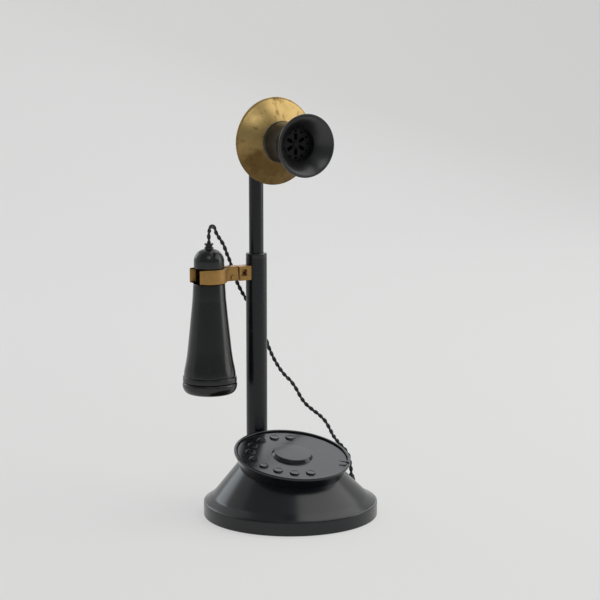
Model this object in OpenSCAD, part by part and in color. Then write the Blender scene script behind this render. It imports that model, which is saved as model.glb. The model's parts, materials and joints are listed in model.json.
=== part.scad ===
// Candlestick telephone with a dial in its base, a tilting transmitter on a two-stage stem
// and a receiver that hangs on a brass hook. Millimetres, +Z up, front towards -Y.
// The origin is the middle of the pad that the base stands on.

/* [Base] */
// Radius of the base at its rim
base_r = 65; // [62:0.5:70]
// Height of the straight rim
rim_h = 10.8; // [9:0.2:13]
// Wall of the base shell
shell_wall = 2.4; // [1.8:0.1:2.8]
// Width of the shoulder between the rim and the cone
shoulder_w = 7; // [6:0.5:9]
// Rise of the shoulder above the rim
shoulder_rise = 3.7; // [3:0.1:5]
// Thickness of the steel plate that closes the base
plate_t = 2; // [1.5:0.1:2.5]
// Thickness of the felt pad under the plate
pad_t = 1.2; // [0.8:0.1:2]
// Distance of the screws that hold the shell to the plate from the rim
plate_screw_inset = 11; // [10:0.5:13]

/* [Dial] */
// Height of the middle of the dial's lip
dial_z = 46.4; // [45:0.2:50]
// Distance of the middle of the dial in front of the base's middle
dial_fwd = 3; // [1:0.5:5]
// Tilt of the dial towards the user
dial_tilt = 12.3; // [8:0.1:14]
// Radius over the dial's lip
dial_r = 43.7; // [42.5:0.1:45]
// Width of the lip
lip_w = 2.1; // [1.8:0.1:2.8]
// Depth of the finger wheel's face below the lip
face_drop = 1.2; // [0.8:0.1:1.6]
// Depth of the dial cup from its lip to the cone
cup_h = 13.2; // [12.8:0.1:13.8]
// Radius of the dial cup where it stands on the cone
cup_foot_r = 40; // [39.4:0.1:40.4]
// Thickness of the finger wheel
wheel_t = 1.6; // [1.3:0.1:1.8]
// Number of finger cups
cups_n = 10; // [8:1:10]
// Radius of the ring of finger cups
cup_ring_r = 31.5; // [29:0.5:34]
// Angle between finger cups
cup_pitch = 22.5; // [21:0.5:23]
// Angle of the first finger cup from the dial's right-hand side
first_cup = 64; // [60:1:68]
// Radius of a finger cup over its wall
finger_cup_r = 3.9; // [3.4:0.1:4.4]
// Height of a finger cup above the wheel's face
finger_cup_h = 1.1; // [0.8:0.1:1.2]
// Radius of the raised hub
hub_r = 15.5; // [13:0.5:17]
// Height of the hub above the wheel's face
hub_h = 2.4; // [1.5:0.1:3.5]
// Angle of the finger stop from the dial's right-hand side
stop_angle = -38; // [-42:1:-34]

/* [Dial mechanism] */
// Radius of the dial spindle
spindle_r = 2.5; // [2:0.1:3]
// Size of one gear tooth (pitch diameter over teeth)
gear_module = 0.8; // [0.7:0.05:0.85]
// Teeth on the main gear
main_teeth = 48; // [44:4:52]
// Teeth on the governor pinion
pinion_teeth = 12; // [11:1:13]
// Thickness of the gears
gear_t = 1.6; // [1.2:0.1:2]
// Turns of the return spring
spring_turns = 4; // [3:1:5]
// Radius of the governor drum
drum_r = 8; // [7.5:0.1:8.5]

/* [Stem] */
// Distance of the stem behind the base's middle
stem_y = 52; // [50:0.2:52.2]
// Radius of the lower tube
lower_r = 8; // [7.6:0.1:8.2]
// Radius of the upper tube
upper_r = 5.5; // [5:0.1:5.8]
// Wall of both tubes
tube_wall = 1.3; // [1:0.1:1.5]
// Height of the top of the lower stage
lower_top = 191.3; // [188:0.5:196]
// Height of the transmitter's pivot
pivot_z = 278.1; // [270:0.5:290]
// Radius of the transmitter's pivot screw
pivot_r = 2; // [1.6:0.1:2.4]

/* [Transmitter] */
// Radius of the brass transmitter over its rim
rim_r = 32.5; // [31:0.5:34]
// Distance of the rim's front in front of the pivot
rim_fwd = 29.5; // [28:0.5:30.5]
// Depth of the straight side behind the rim
rim_depth = 1.6; // [1.4:0.1:3]
// Depth of the domed brass face
face_h = 9.5; // [8.5:0.5:11]
// Radius of the mouthpiece's neck
neck_r = 15; // [13.5:0.5:16]
// Radius of the mouthpiece's mouth
mouth_r = 23.1; // [21:0.1:25]
// Distance of the mouth in front of the pivot
mouth_fwd = 76.1; // [72:0.5:80]
// Wall of the brass shells
brass_wall = 1.5; // [1.2:0.1:1.8]
// Radius of the recess behind the mouth
throat_r = 12; // [11:0.5:12.5]
// Distance of the grille's front in front of the pivot
grille_fwd = 60; // [58:0.5:62]

/* [Hook] */
// Height of the middle of the hook
hook_z = 176.8; // [174:0.2:178]
// Height of the fork
band_h = 10.8; // [10:0.2:12]
// Radius of the fork's ring, inside
fork_in_r = 10.2; // [10:0.1:10.6]
// Radius of the fork's ring, outside
fork_r = 13.5; // [13:0.1:14]
// Half of the gap between the fork's prongs
fork_half = 6.8; // [6.6:0.1:7]
// Thickness of the prongs
fork_t = 2; // [1.8:0.1:2.4]
// Reach of the prongs past the receiver's axis
prong_l = 13; // [12:0.2:15]
// Distance of the hook's pin from the stem's axis
pin_x = 22.2; // [21.5:0.1:23]
// Radius of the hook's pin
hook_pin_r = 1.3; // [1:0.1:1.5]

/* [Receiver] */
// Distance of the receiver's axis from the stem's axis
recv_x = 40.4; // [40:0.1:41]
// Radius of the receiver's neck between the prongs
recv_neck_r = 6; // [5.6:0.1:6.2]
// Radius of the domed cap
cap_r = 11.5; // [11.2:0.1:12]
// Height of the domed cap
cap_h = 14.8; // [13:0.1:17]
// Radius at the top of the receiver's body
body_top_r = 12; // [11.5:0.1:12.5]
// Radius of the ear cap
ear_r = 20.7; // [20:0.1:22]
// Height of the bottom of the ear cap above the table
ear_z = 87; // [84:0.5:90]
// Free space between the receiver and the fork
hang_gap = 0.3; // [0.2:0.05:0.4]

/* [Cord] */
// Diameter of the receiver cord
cord_d = 3; // [2.4:0.1:3.4]

/* [Hidden] */
$fn = 64;

// Clearances
run_gap = 0.05;      // between a pin or shaft and its bore
seat_gap = 0.1;      // between fitted pieces of one body
move_gap = 0.4;      // between bodies that move past each other

// Finishes
black = [0.09, 0.09, 0.10];
black_satin = [0.14, 0.14, 0.15];
brass = [0.72, 0.56, 0.30];
steel = [0.62, 0.63, 0.65];
fibre = [0.42, 0.24, 0.14];
felt = [0.16, 0.22, 0.17];

// Base: the shell is a loft of rings that lean more and more towards the dial's tilt
loft_sides = 72;
shoulder_r = base_r - shoulder_w;
plate_screw_ring = base_r - plate_screw_inset;
cup_foot_w = -cup_h;
cup_foot_y = -dial_fwd - cup_foot_w * sin(dial_tilt);
cup_foot_z = dial_z + cup_foot_w * cos(dial_tilt);
shoulder_z = rim_h + shoulder_rise;
shoulder_tilt = dial_tilt / 5;
rim_in = base_r - shell_wall;
plate_bottom = pad_t;
plate_top = pad_t + plate_t;
rim_bottom = pad_t / 4;
shoulder_out = base_r - 1;
plate_screw_angles = [30, 150, 270];
plate_screw_r = 1.5;
boss_r = 3.6;

// Dial, in its own frame: w is up along the dial's axis from the lip
wheel_top = -face_drop;
wheel_bottom = wheel_top - wheel_t;
dial_plate_top = wheel_bottom - 0.3;
dial_plate_t = 0.9;
dial_plate_bottom = dial_plate_top - dial_plate_t;
lip_in = dial_r - lip_w;
ledge_r = lip_in - 3;
mech_r = 30;
mech_t = 1.2;
mech_top = dial_plate_bottom - 4;
mech_bottom = mech_top - mech_t;
impulse_top = mech_bottom - 0.6;
impulse_t = 1.4;
impulse_r = 8;
gear_top = impulse_top - impulse_t - 0.1;
gear_bottom = gear_top - gear_t;
spring_top = gear_bottom - 0.6;
spring_h = 2.4;
bridge_top = spring_top - spring_h - 0.6;
bridge_t = 1.2;
bridge_bottom = bridge_top - bridge_t;
main_pitch_r = gear_module * main_teeth / 2;
pinion_pitch_r = gear_module * pinion_teeth / 2;
gear_centres = main_pitch_r + pinion_pitch_r + 0.12;
governor_angle = 180;
bush_r = 5;
pillar_r = 2;
pillar_ring = mech_r - 3;
pillar_angles = [70, 230, 310];
arbor_r = 1.2;

// Stem
socket_r = lower_r + 2.2;
socket_top = 33;
foot_t = 4;
tube_seat = plate_top + foot_t;
nut_h = 4;
spigot_h = 3;
upper_bottom = lower_top - nut_h - spigot_h;
clevis_bottom = pivot_z - 16;
cheek_gap = 4.2;
cheek_t = 2.6;
cheek_r = 6.5;
upper_top = clevis_bottom + 8;

// Hook, z from hook_z
band_top = hook_z + band_h / 2;
band_bottom = hook_z - band_h / 2;
yoke_half = 4.5;
yoke_in = 17.3;
yoke_out = recv_x - (fork_in_r + fork_r) / 2;
yoke_lean = 1;
bracket_out = yoke_in - move_gap;
post_out = lower_r + 2.4;
tongue_half = 1.9;
pin_z = hook_z - 2.4;
tail_half = 1.6;
tail_bottom = hook_z + 0.6;
tail_t = 2;
tail_end = 2.6;
window_low = hook_z - 2.1;
window_high = hook_z + 3;

// Receiver, heights from the table
cap_bottom = band_top + hang_gap;
cap_top = cap_bottom + cap_h;
body_top = band_bottom - hang_gap;
ferrule_r = 3.4;
ferrule_h = 4;
ear_h = 9;
ear_top = ear_z + ear_h;

// Cord route: from the ferrule over and down behind the stem to the base's right side
ferrule_top = cap_top + ferrule_h;
upper_route = [
  [-recv_x, stem_y, ferrule_top], [-recv_x, stem_y, 204], [-recv_x, stem_y, 207.5],
  [-39, 53.1, 211.5], [-35.7, 55.8, 213.5], [-32.4, 58.4, 211.5], [-30.2, 59.4, 207],
  [-27, 60, 202.5], [-23.5, 60.5, 197.5], [-20.5, 61, 190.5], [-18.4, 61.5, 186.5],
  [-16.4, 62, 181.5]
];
lower_route = [
  [-16.4, 62, 181.5], [-13.8, 62.65, 175], [-11, 62.8, 168], [-7, 63, 160.5], [-3, 63, 154],
  [1.5, 63, 145.5], [5.6, 63, 137], [10, 63, 129.5], [14, 63, 122], [16, 62.5, 116],
  [18.6, 62, 109.5], [22, 61, 102.5], [26, 60, 96], [29.5, 59, 91.5], [33.5, 57.5, 87],
  [37, 55.5, 81], [39.7, 53, 74.5], [42.5, 50, 69.5], [46, 46, 65.5], [49, 40.5, 62],
  [51, 35, 58], [52.2, 30.5, 53], [53, 26, 48], [54.2, 20.5, 43.8], [55.8, 14.5, 40],
  [56.6, 9.5, 35.5], [56, 6, 30.5], [55.2, 3.6, 27], [55, 3, 24.5], [55, 3, 22]
];
cord_end = lower_route[len(lower_route) - 1];
cord_sides = 8;

// Height of the shell's outer surface over a point r from the middle at angle a
function shell_u(r) = (shoulder_r - r) / (shoulder_r - cup_foot_r);
function mix(a, b, u) = a + (b - a) * u;
function shell_height(r, a) =
  mix(shoulder_z, cup_foot_z, shell_u(r))
  + r * sin(a) * sin(mix(shoulder_tilt, dial_tilt, shell_u(r)));

// A ring of points of radius r, its middle at y and z, leaning by tilt about X
function ring(r, y, z, tilt) = [
  for (i = [0:loft_sides - 1])
    let (a = 360 * i / loft_sides)
      [r * cos(a), y + r * sin(a) * cos(tilt), z + r * sin(a) * sin(tilt)]
];

// A closed skin over rings, the last ring joined to the first
module skin_loop(rings) {
  n = len(rings[0]);
  m = len(rings);
  polyhedron(
    points = [for (r = rings) each r],
    faces = [
      for (j = [0:m - 1]) for (i = [0:n - 1])
        let (
          a = j * n + i, b = j * n + (i + 1) % n,
          c = ((j + 1) % m) * n + (i + 1) % n, d = ((j + 1) % m) * n + i
        )
          each [[a, c, b], [a, d, c]]
    ],
    convexity = 6
  );
}

// Tube along a path: directions, frames carried along without twist, rings and end caps
function unit(v) = v / norm(v);
function path_dir(p, i) =
  i == 0 ? unit(p[1] - p[0])
  : i == len(p) - 1 ? unit(p[i] - p[i - 1])
  : unit(unit(p[i + 1] - p[i]) + unit(p[i] - p[i - 1]));
function flatten_to(v, d) = unit(v - d * (v * d));
function frames(p, i, v) =
  i == len(p) ? []
  : let (f = flatten_to(v, path_dir(p, i))) concat([f], frames(p, i + 1, f));
module tube_along(p, r, sides, start = [0, 1, 0]) {
  f = frames(p, 0, start);
  m = len(p);
  points = [
    for (i = [0:m - 1]) for (k = [0:sides - 1])
      let (t = path_dir(p, i), a = 360 * (k + 0.5) / sides)
        p[i] + r * (cos(a) * f[i] + sin(a) * cross(t, f[i]))
  ];
  sides_faces = [
    for (i = [0:m - 2]) for (k = [0:sides - 1])
      let (a = i * sides + k, b = i * sides + (k + 1) % sides)
        each [[a, a + sides, b], [b, a + sides, b + sides]]
  ];
  polyhedron(
    points = points,
    faces = concat(
      [[for (k = [0:sides - 1]) k]],
      sides_faces,
      [[for (k = [sides - 1:-1:0]) (m - 1) * sides + k]]
    ),
    convexity = 8
  );
}

// Places: the dial's frame, the transmitter's frame (z forwards) and the receiver's axis
module at_dial() {
  translate([0, -dial_fwd, dial_z]) rotate([dial_tilt, 0, 0]) children();
}
module at_transmitter() {
  translate([0, stem_y, pivot_z]) rotate([90, 0, 0]) children();
}
module at_receiver() {
  translate([-recv_x, stem_y, 0]) children();
}
module at_stem() {
  translate([0, stem_y, 0]) children();
}
module ring_of(radius, angles) {
  for (a = angles) rotate([0, 0, a]) translate([radius, 0, 0]) children();
}

// A screw with a slotted pan head, its head's underside at z = 0 and its shank below
module screw(r, length, head_r, head_h) {
  difference() {
    union() {
      translate([0, 0, -length]) cylinder(r = r, h = length, $fn = 24);
      rotate_extrude($fn = 32)
        polygon([[0, 0], [head_r, 0], [head_r, head_h * 0.6], [head_r * 0.8, head_h], [0, head_h]]);
    }
    translate([-head_r - 1, -head_r * 0.14, head_h * 0.55])
      cube([2 * head_r + 2, head_r * 0.28, head_h]);
  }
}

// Tooth outlines with straight flanks, a little thin so that they run free
function tooth(n, m, i) =
  let (
    pitch = m * n / 2, root = pitch - 1.25 * m, tip = pitch + 0.9 * m,
    half = 90 / n, a = 360 * i / n
  )
    [
      for (s = [[root, -1.42], [pitch, -0.88], [tip, -0.36], [tip, 0.36], [pitch, 0.88], [root, 1.42]])
        [s[0] * cos(a + s[1] * half), s[0] * sin(a + s[1] * half)]
    ];
module gear_outline(n, m) {
  polygon([for (i = [0:n - 1]) each tooth(n, m, i)]);
}

// ---- Base ----

// Felt pad that the base stands on, with holes over the screw heads
module base_pad() {
  color(felt) difference() {
    cylinder(r = rim_in - 1.5, h = pad_t, $fn = 96);
    ring_of(plate_screw_ring, plate_screw_angles)
      translate([0, 0, -1]) cylinder(r = 3.4, h = pad_t + 2);
  }
}

// Steel plate that closes the base, countersunk for the screws of the shell and the stem
module base_plate() {
  color(steel) difference() {
    translate([0, 0, plate_bottom]) cylinder(r = rim_in - seat_gap, h = plate_t, $fn = 96);
    ring_of(plate_screw_ring, plate_screw_angles)
      translate([0, 0, plate_bottom - 1]) cylinder(r = plate_screw_r + seat_gap, h = plate_t + 2);
    foot_screw_places()
      translate([0, 0, plate_bottom - 1]) cylinder(r = plate_screw_r + seat_gap, h = plate_t + 2);
  }
}

plate_screw_l = 7;
module plate_screws() {
  color(steel) ring_of(plate_screw_ring, plate_screw_angles)
    translate([0, 0, plate_bottom]) rotate([180, 0, 0]) screw(plate_screw_r, plate_screw_l, 3, 0.9);
}

// Enamelled steel shell: a straight rim with a rounded bead and a cone that leans to the dial
module base_shell() {
  w = shell_wall;
  outer = [
    ring(shoulder_out - 0.6, 0, rim_h - 0.6, 0),
    ring(shoulder_out - 0.2, 0, rim_h + 0.1, 0),
    ring(shoulder_r, 0, shoulder_z, shoulder_tilt),
    ring(mix(shoulder_r, cup_foot_r, 0.5), cup_foot_y / 2,
      mix(shoulder_z, cup_foot_z, 0.5), mix(shoulder_tilt, dial_tilt, 0.5)),
    ring(cup_foot_r, cup_foot_y, cup_foot_z, dial_tilt)
  ];
  inner = [
    ring(cup_foot_r - w, cup_foot_y, cup_foot_z, dial_tilt),
    ring(mix(shoulder_r, cup_foot_r, 0.5) - w * 0.7, cup_foot_y / 2,
      mix(shoulder_z, cup_foot_z, 0.5) - w * 0.75, mix(shoulder_tilt, dial_tilt, 0.5)),
    ring(shoulder_r - w * 0.5, 0, shoulder_z - w * 0.9, shoulder_tilt),
    ring(rim_in - 0.2, 0, rim_h - w * 0.9, 0)
  ];
  color(black) difference() {
    union() {
      skin_loop(concat(outer, inner));
      rotate_extrude($fn = 120) shell_rim_profile();
      for (a = plate_screw_angles) rotate([0, 0, a]) translate([plate_screw_ring, 0, plate_top])
        cylinder(r = boss_r, h = boss_top(a) - plate_top, $fn = 32);
    }
    at_stem() translate([0, 0, rim_h - 6]) cylinder(r = socket_r + seat_gap, h = 40);
    translate([cord_end[0], cord_end[1], rim_h])
      cylinder(r = grommet_r + seat_gap, h = 20, $fn = 32);
    line_bush_place() translate([0, 0, -6]) cylinder(r = line_bush_r + seat_gap, h = 12);
    ring_of(plate_screw_ring, plate_screw_angles)
      translate([0, 0, plate_top - 1]) cylinder(r = plate_screw_r, h = 6.4);
  }
}
module shell_rim_profile() {
  bead = 0.7;
  union() {
    polygon([
      [rim_in, rim_bottom], [base_r - 0.5, rim_bottom], [base_r, rim_bottom + 0.5],
      [base_r, rim_h - bead], [rim_in, rim_h - bead]
    ]);
    translate([rim_in, rim_h - 2 * bead]) square([base_r - bead - rim_in, 2 * bead]);
    translate([base_r - bead, rim_h - bead]) circle(r = bead, $fn = 24);
  }
}
// Top of the screw boss at angle a, just under the shell's outside at the boss's far edge
function boss_top(a) = shell_height(plate_screw_ring + boss_r, a) - 0.8;

grommet_r = 3.3;
// Moulded strain relief that the receiver cord ends in
module cord_grommet() {
  color(black_satin) translate([cord_end[0], cord_end[1], 0])
    rotate_extrude($fn = 32)
      polygon([
        [0, rim_h], [grommet_r, rim_h], [grommet_r, cord_end[2] - 4],
        [cord_d / 2 + 0.7, cord_end[2]], [0, cord_end[2]]
      ]);
}

line_bush_r = 2.2;
line_bore_r = 1.5;
line_angle = 118;
module line_bush_place() {
  rotate([0, 0, line_angle]) translate([base_r, 0, plate_top + 2.9]) rotate([0, 90, 0]) children();
}
// Empty rubber bush in the rim where the line cord comes in
module line_bush() {
  color(black_satin) line_bush_place() rotate_extrude($fn = 32) polygon([
    [line_bore_r, -shell_wall - 1.5], [line_bush_r + 0.4, -shell_wall - 1.5],
    [line_bush_r + 0.4, -shell_wall - 0.3], [line_bush_r, -shell_wall - 0.3],
    [line_bush_r, 0.1], [line_bush_r + 0.5, 0.2], [line_bush_r + 0.2, 1.2], [line_bore_r, 1.2]
  ]);
}

// Terminals of the receiver cord, the dial and the line
terminal_x = 26;
terminal_y = -14;
terminal_l = 28;
terminal_w = 12;
terminal_h = 6;
module terminal_block() {
  color(fibre) difference() {
    translate([terminal_x - terminal_l / 2, terminal_y - terminal_w / 2, plate_top]) union() {
      cube([terminal_l, terminal_w, terminal_h]);
      for (i = [0:4]) translate([i * (terminal_l - 1) / 4, 0, 0]) cube([1, terminal_w, terminal_h + 2]);
    }
    terminal_places() translate([0, 0, plate_top + 1]) cylinder(r = 1, h = terminal_h, $fn = 24);
  }
}
module terminal_places() {
  for (i = [0:3]) for (s = [-1, 1])
    translate([terminal_x + (i - 1.5) * (terminal_l - 1) / 4, terminal_y + s * terminal_w / 4, 0])
      children();
}
module terminal_screws() {
  color(brass) terminal_places() translate([0, 0, plate_top + terminal_h]) screw(1, 4, 1.9, 1);
}

// Leads inside the base, from the strain relief and from the stem to the terminals
lead_r = 0.9;
lead_routes = [
  [[cord_end[0], cord_end[1], rim_h], [55, 3, 9], [53, 0, 6.5], [46, -6, 5.8], [40.8, -11, 5.8]],
  [[0, stem_y - 2, 9.4], [0, 44, 9.4], [0, 38, 9.2], [6, 26, 9], [14, 10, 8], [20, 0, 7],
    [22, -7.5, 6]]
];
module inner_leads() {
  color(fibre) for (route = lead_routes) tube_along(route, lead_r, 6, [1, 0, 0]);
}

// ---- Dial ----

// Fixed cup of the dial: raised lip outside, tapering to the cone, ledge and wall inside
module dial_cup() {
  color(black) at_dial() difference() {
    rotate_extrude($fn = 120) polygon([
      [cup_foot_r - shell_wall, cup_foot_w], [cup_foot_r, cup_foot_w],
      [dial_r - 0.5, -2.2], [dial_r, -1.5], [dial_r, -0.5], [dial_r - 0.15, -0.15],
      [dial_r - 0.5, 0], [lip_in + 0.5, 0], [lip_in + 0.15, -0.15], [lip_in, -0.5],
      [lip_in, dial_plate_bottom], [ledge_r, dial_plate_bottom], [ledge_r, dial_plate_bottom - 1.4]
    ]);
    ring_of(dial_screw_ring, dial_screw_angles)
      translate([0, 0, dial_plate_bottom - 1]) cylinder(r = 0.8, h = 1.2, $fn = 24);
  }
}

// Fixed plate under the finger wheel, on the cup's ledge
dial_screw_ring = lip_in - 1.5;
dial_screw_angles = [20, 140, 260];
module dial_plate() {
  color(steel) at_dial() difference() {
    translate([0, 0, dial_plate_bottom]) cylinder(r = lip_in - seat_gap, h = dial_plate_t, $fn = 96);
    translate([0, 0, dial_plate_bottom - 1]) cylinder(r = bush_r + seat_gap, h = 3);
    ring_of(dial_screw_ring, dial_screw_angles)
      translate([0, 0, dial_plate_bottom - 1]) cylinder(r = 0.9, h = 3, $fn = 24);
    ring_of(pillar_ring, pillar_angles)
      translate([0, 0, dial_plate_bottom - 1]) cylinder(r = 1 + seat_gap, h = 3, $fn = 24);
  }
}
module dial_plate_screws() {
  color(steel) at_dial() ring_of(dial_screw_ring, dial_screw_angles)
    translate([0, 0, dial_plate_bottom - 0.95]) cylinder(r = 0.8, h = dial_plate_t + 0.9, $fn = 24);
}

// Short blade from the lip over the wheel's edge, which stops the finger
module finger_stop() {
  stop_l = 7;
  stop_w = 2.2;
  color(black) at_dial() rotate([0, 0, stop_angle]) translate([0, stop_w / 2, 0]) rotate([90, 0, 0])
    linear_extrude(height = stop_w) polygon([
      [dial_r - 0.6, 0], [lip_in + 0.3, 0], [lip_in - 0.3, 0.35], [lip_in - stop_l, 0.35],
      [lip_in - stop_l, 0.9], [lip_in - stop_l + 0.4, 1.2], [dial_r - 1.2, 1.2]
    ]);
}

// Fixed plates of the mechanism, and the pillars between them
module mech_plate() {
  color(steel) at_dial() difference() {
    translate([0, 0, mech_bottom]) cylinder(r = mech_r, h = mech_t, $fn = 96);
    translate([0, 0, mech_bottom - 1]) cylinder(r = bush_r + seat_gap, h = 4);
    rotate([0, 0, governor_angle]) translate([gear_centres, 0, mech_bottom - 1])
      cylinder(r = arbor_r + run_gap, h = 4, $fn = 32);
    ring_of(pillar_ring, pillar_angles)
      translate([0, 0, mech_bottom - 1]) cylinder(r = 1 + seat_gap, h = 4, $fn = 24);
  }
}
module mech_pillars() {
  color(brass) at_dial() ring_of(pillar_ring, pillar_angles) union() {
    translate([0, 0, mech_top]) cylinder(r = pillar_r, h = dial_plate_bottom - mech_top, $fn = 24);
    translate([0, 0, bridge_top]) cylinder(r = pillar_r, h = mech_bottom - bridge_top, $fn = 24);
    translate([0, 0, bridge_bottom - 0.6])
      cylinder(r = 1, h = dial_plate_top - 0.1 - bridge_bottom + 0.6, $fn = 24);
  }
}
module bridge_plate() {
  color(steel) at_dial() difference() {
    translate([0, 0, bridge_bottom]) cylinder(r = mech_r, h = bridge_t, $fn = 96);
    translate([0, 0, bridge_bottom - 1]) cylinder(r = spindle_r + run_gap, h = 4, $fn = 48);
    rotate([0, 0, governor_angle]) translate([gear_centres, 0, bridge_bottom - 1])
      cylinder(r = arbor_r + run_gap, h = 4, $fn = 32);
    ring_of(pillar_ring, pillar_angles)
      translate([0, 0, bridge_bottom - 1]) cylinder(r = 1 + seat_gap, h = 4, $fn = 24);
    rotate([0, 0, 30]) translate([11, -9, bridge_bottom - 1]) cube([13, 18, 4]);
  }
}
module spindle_bush() {
  color(brass) at_dial() rotate_extrude() polygon([
    [spindle_r + run_gap, mech_bottom], [bush_r, mech_bottom], [bush_r, mech_top],
    [bush_r + 1, mech_top], [bush_r + 1, mech_top + 1], [bush_r, mech_top + 1],
    [bush_r, dial_plate_top], [spindle_r + run_gap, dial_plate_top]
  ]);
}

// Stack of contact springs beside the impulse wheel, on an insulating block
module impulse_springs() {
  color(brass) at_dial() rotate([0, 0, 20]) union() {
    translate([12, 4.5, impulse_top - 1]) cube([7, 8, mech_bottom - impulse_top + 1]);
    for (i = [0:2]) translate([impulse_r + 0.5 + 1.6 * i, -5, impulse_top - 0.9]) cube([0.5, 10, 0.8]);
    translate([impulse_r + 0.5, 4.5, impulse_top - 0.9]) cube([5, 0.6, 0.8]);
  }
}

// Flat spiral that turns the dial back, hooked on a pillar at its outer end
module return_spring() {
  strip = 0.5;
  r0 = spindle_r + 0.6;
  r1 = 15;
  steps = 20 * spring_turns;
  function spiral(i, side) =
    let (u = i / steps, r = mix(r0, r1, u) + side * strip / 2, a = 360 * spring_turns * u)
      [r * cos(a), r * sin(a)];
  color(steel) at_dial() translate([0, 0, spring_top - spring_h]) union() {
    linear_extrude(height = spring_h) polygon(concat(
      [for (i = [0:steps]) spiral(i, 1)], [for (i = [steps:-1:0]) spiral(i, -1)]
    ));
    translate([r1, -0.4, -0.6]) cylinder(r = 0.8, h = spring_h + 0.6, $fn = 24);
  }
}

// Drum that the governor's weights rub on, fixed to the bridge
module governor_drum() {
  color(brass) at_dial() rotate([0, 0, governor_angle]) translate([gear_centres, 0, 0])
    difference() {
      translate([0, 0, bridge_bottom - 5.4]) cylinder(r = drum_r, h = 5.4);
      translate([0, 0, bridge_bottom - 6]) cylinder(r = drum_r - 1, h = 5);
      translate([0, 0, bridge_bottom - 2]) cylinder(r = arbor_r + run_gap, h = 4, $fn = 32);
    }
}

// Finger wheel with its ring of raised, dished finger cups
module finger_wheel() {
  color(black) at_dial() difference() {
    union() {
      rotate_extrude($fn = 120) polygon([
        [0, wheel_bottom], [lip_in - move_gap - 0.2, wheel_bottom], [lip_in - move_gap, wheel_bottom + 0.2],
        [lip_in - move_gap, wheel_top - 0.3], [lip_in - move_gap - 0.3, wheel_top], [0, wheel_top]
      ]);
      ring_of(cup_ring_r, [for (i = [0:cups_n - 1]) first_cup + i * cup_pitch])
        translate([0, 0, wheel_top - 0.2]) rotate_extrude($fn = 32) polygon([
          [0, 0], [finger_cup_r, 0], [finger_cup_r, 0.2 + finger_cup_h * 0.5],
          [finger_cup_r - 0.5, 0.2 + finger_cup_h], [0, 0.2 + finger_cup_h]
        ]);
    }
    ring_of(cup_ring_r, [for (i = [0:cups_n - 1]) first_cup + i * cup_pitch])
      translate([0, 0, wheel_top + finger_cup_h + dish_sphere_r - dish_depth])
        sphere(r = dish_sphere_r, $fn = 48);
    translate([0, 0, wheel_bottom - 1]) cylinder(r = spindle_r, h = 4, $fn = 48);
  }
}
dish_depth = 0.8;
dish_r = finger_cup_r - 0.9;
dish_sphere_r = (dish_r * dish_r + dish_depth * dish_depth) / (2 * dish_depth);

// Raised hub that covers the spindle's nut
module hub_cap() {
  color(black) at_dial() rotate_extrude($fn = 96) polygon([
    [0, wheel_top + hub_h], [hub_r - 1.1, wheel_top + hub_h], [hub_r - 0.4, wheel_top + hub_h - 0.3],
    [hub_r, wheel_top + hub_h - 0.9], [hub_r, wheel_top], [spindle_r + 2.4, wheel_top],
    [spindle_r + 2.4, wheel_top + hub_h - 1], [0, wheel_top + hub_h - 1]
  ]);
}

module dial_spindle() {
  color(steel) at_dial() union() {
    translate([0, 0, bridge_bottom - 0.8])
      cylinder(r = spindle_r, h = wheel_top + 1 - bridge_bottom + 0.8, $fn = 48);
    translate([0, 0, wheel_top]) cylinder(r = spindle_r + 2, h = 1, $fn = 6);
  }
}
module main_gear() {
  color(brass) at_dial() translate([0, 0, gear_bottom]) difference() {
    linear_extrude(height = gear_t) gear_outline(main_teeth, gear_module);
    translate([0, 0, -1]) cylinder(r = spindle_r, h = gear_t + 2, $fn = 48);
    ring_of(main_pitch_r * 0.56, [0, 72, 144, 216, 288])
      translate([0, 0, -1]) cylinder(r = main_pitch_r * 0.22, h = gear_t + 2, $fn = 32);
  }
}
// Wheel with a notch for each impulse
module impulse_wheel() {
  color(fibre) at_dial() translate([0, 0, impulse_top - impulse_t]) difference() {
    cylinder(r = impulse_r, h = impulse_t);
    translate([0, 0, -1]) cylinder(r = spindle_r, h = impulse_t + 2, $fn = 48);
    ring_of(impulse_r + 0.2, [for (i = [0:cups_n - 1]) first_cup + i * cup_pitch])
      translate([0, 0, -1]) cylinder(r = 1, h = impulse_t + 2, $fn = 24);
  }
}

// Governor: a pinion on a thin arbor, and two weights that swing inside the drum
module at_governor() {
  at_dial() rotate([0, 0, governor_angle]) translate([gear_centres, 0, 0]) children();
}
module governor_shaft() {
  color(steel) at_governor() union() {
    translate([0, 0, gear_bottom]) rotate([0, 0, 180 / pinion_teeth + 180])
      linear_extrude(height = gear_t) gear_outline(pinion_teeth, gear_module);
    translate([0, 0, bridge_bottom - 4.6])
      cylinder(r = arbor_r, h = mech_top + 0.6 - bridge_bottom + 4.6, $fn = 32);
  }
}
module governor_weights() {
  color(brass) at_governor() translate([0, 0, bridge_bottom - 4.4]) difference() {
    union() {
      for (s = [0, 180]) rotate([0, 0, s]) intersection() {
        cylinder(r = drum_r - 1.5, h = 2.6);
        translate([2.6, -3.4, 0]) cube([drum_r, 6.8, 2.6]);
      }
      translate([-4, -1, 0.8]) cube([8, 2, 1]);
      cylinder(r = 2.2, h = 2.6, $fn = 32);
    }
    translate([0, 0, -1]) cylinder(r = arbor_r, h = 5, $fn = 32);
  }
}

// ---- Stem ----

foot_half = socket_r + 6.8;
foot_front = socket_r + 10.8;
module foot_screw_places() {
  for (x = [-1, 1]) for (p = [[foot_half - 8, 5 - foot_front], [foot_half - 4, 17 - foot_front]])
    at_stem() translate([x * p[0], p[1], 0]) children();
}
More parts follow.
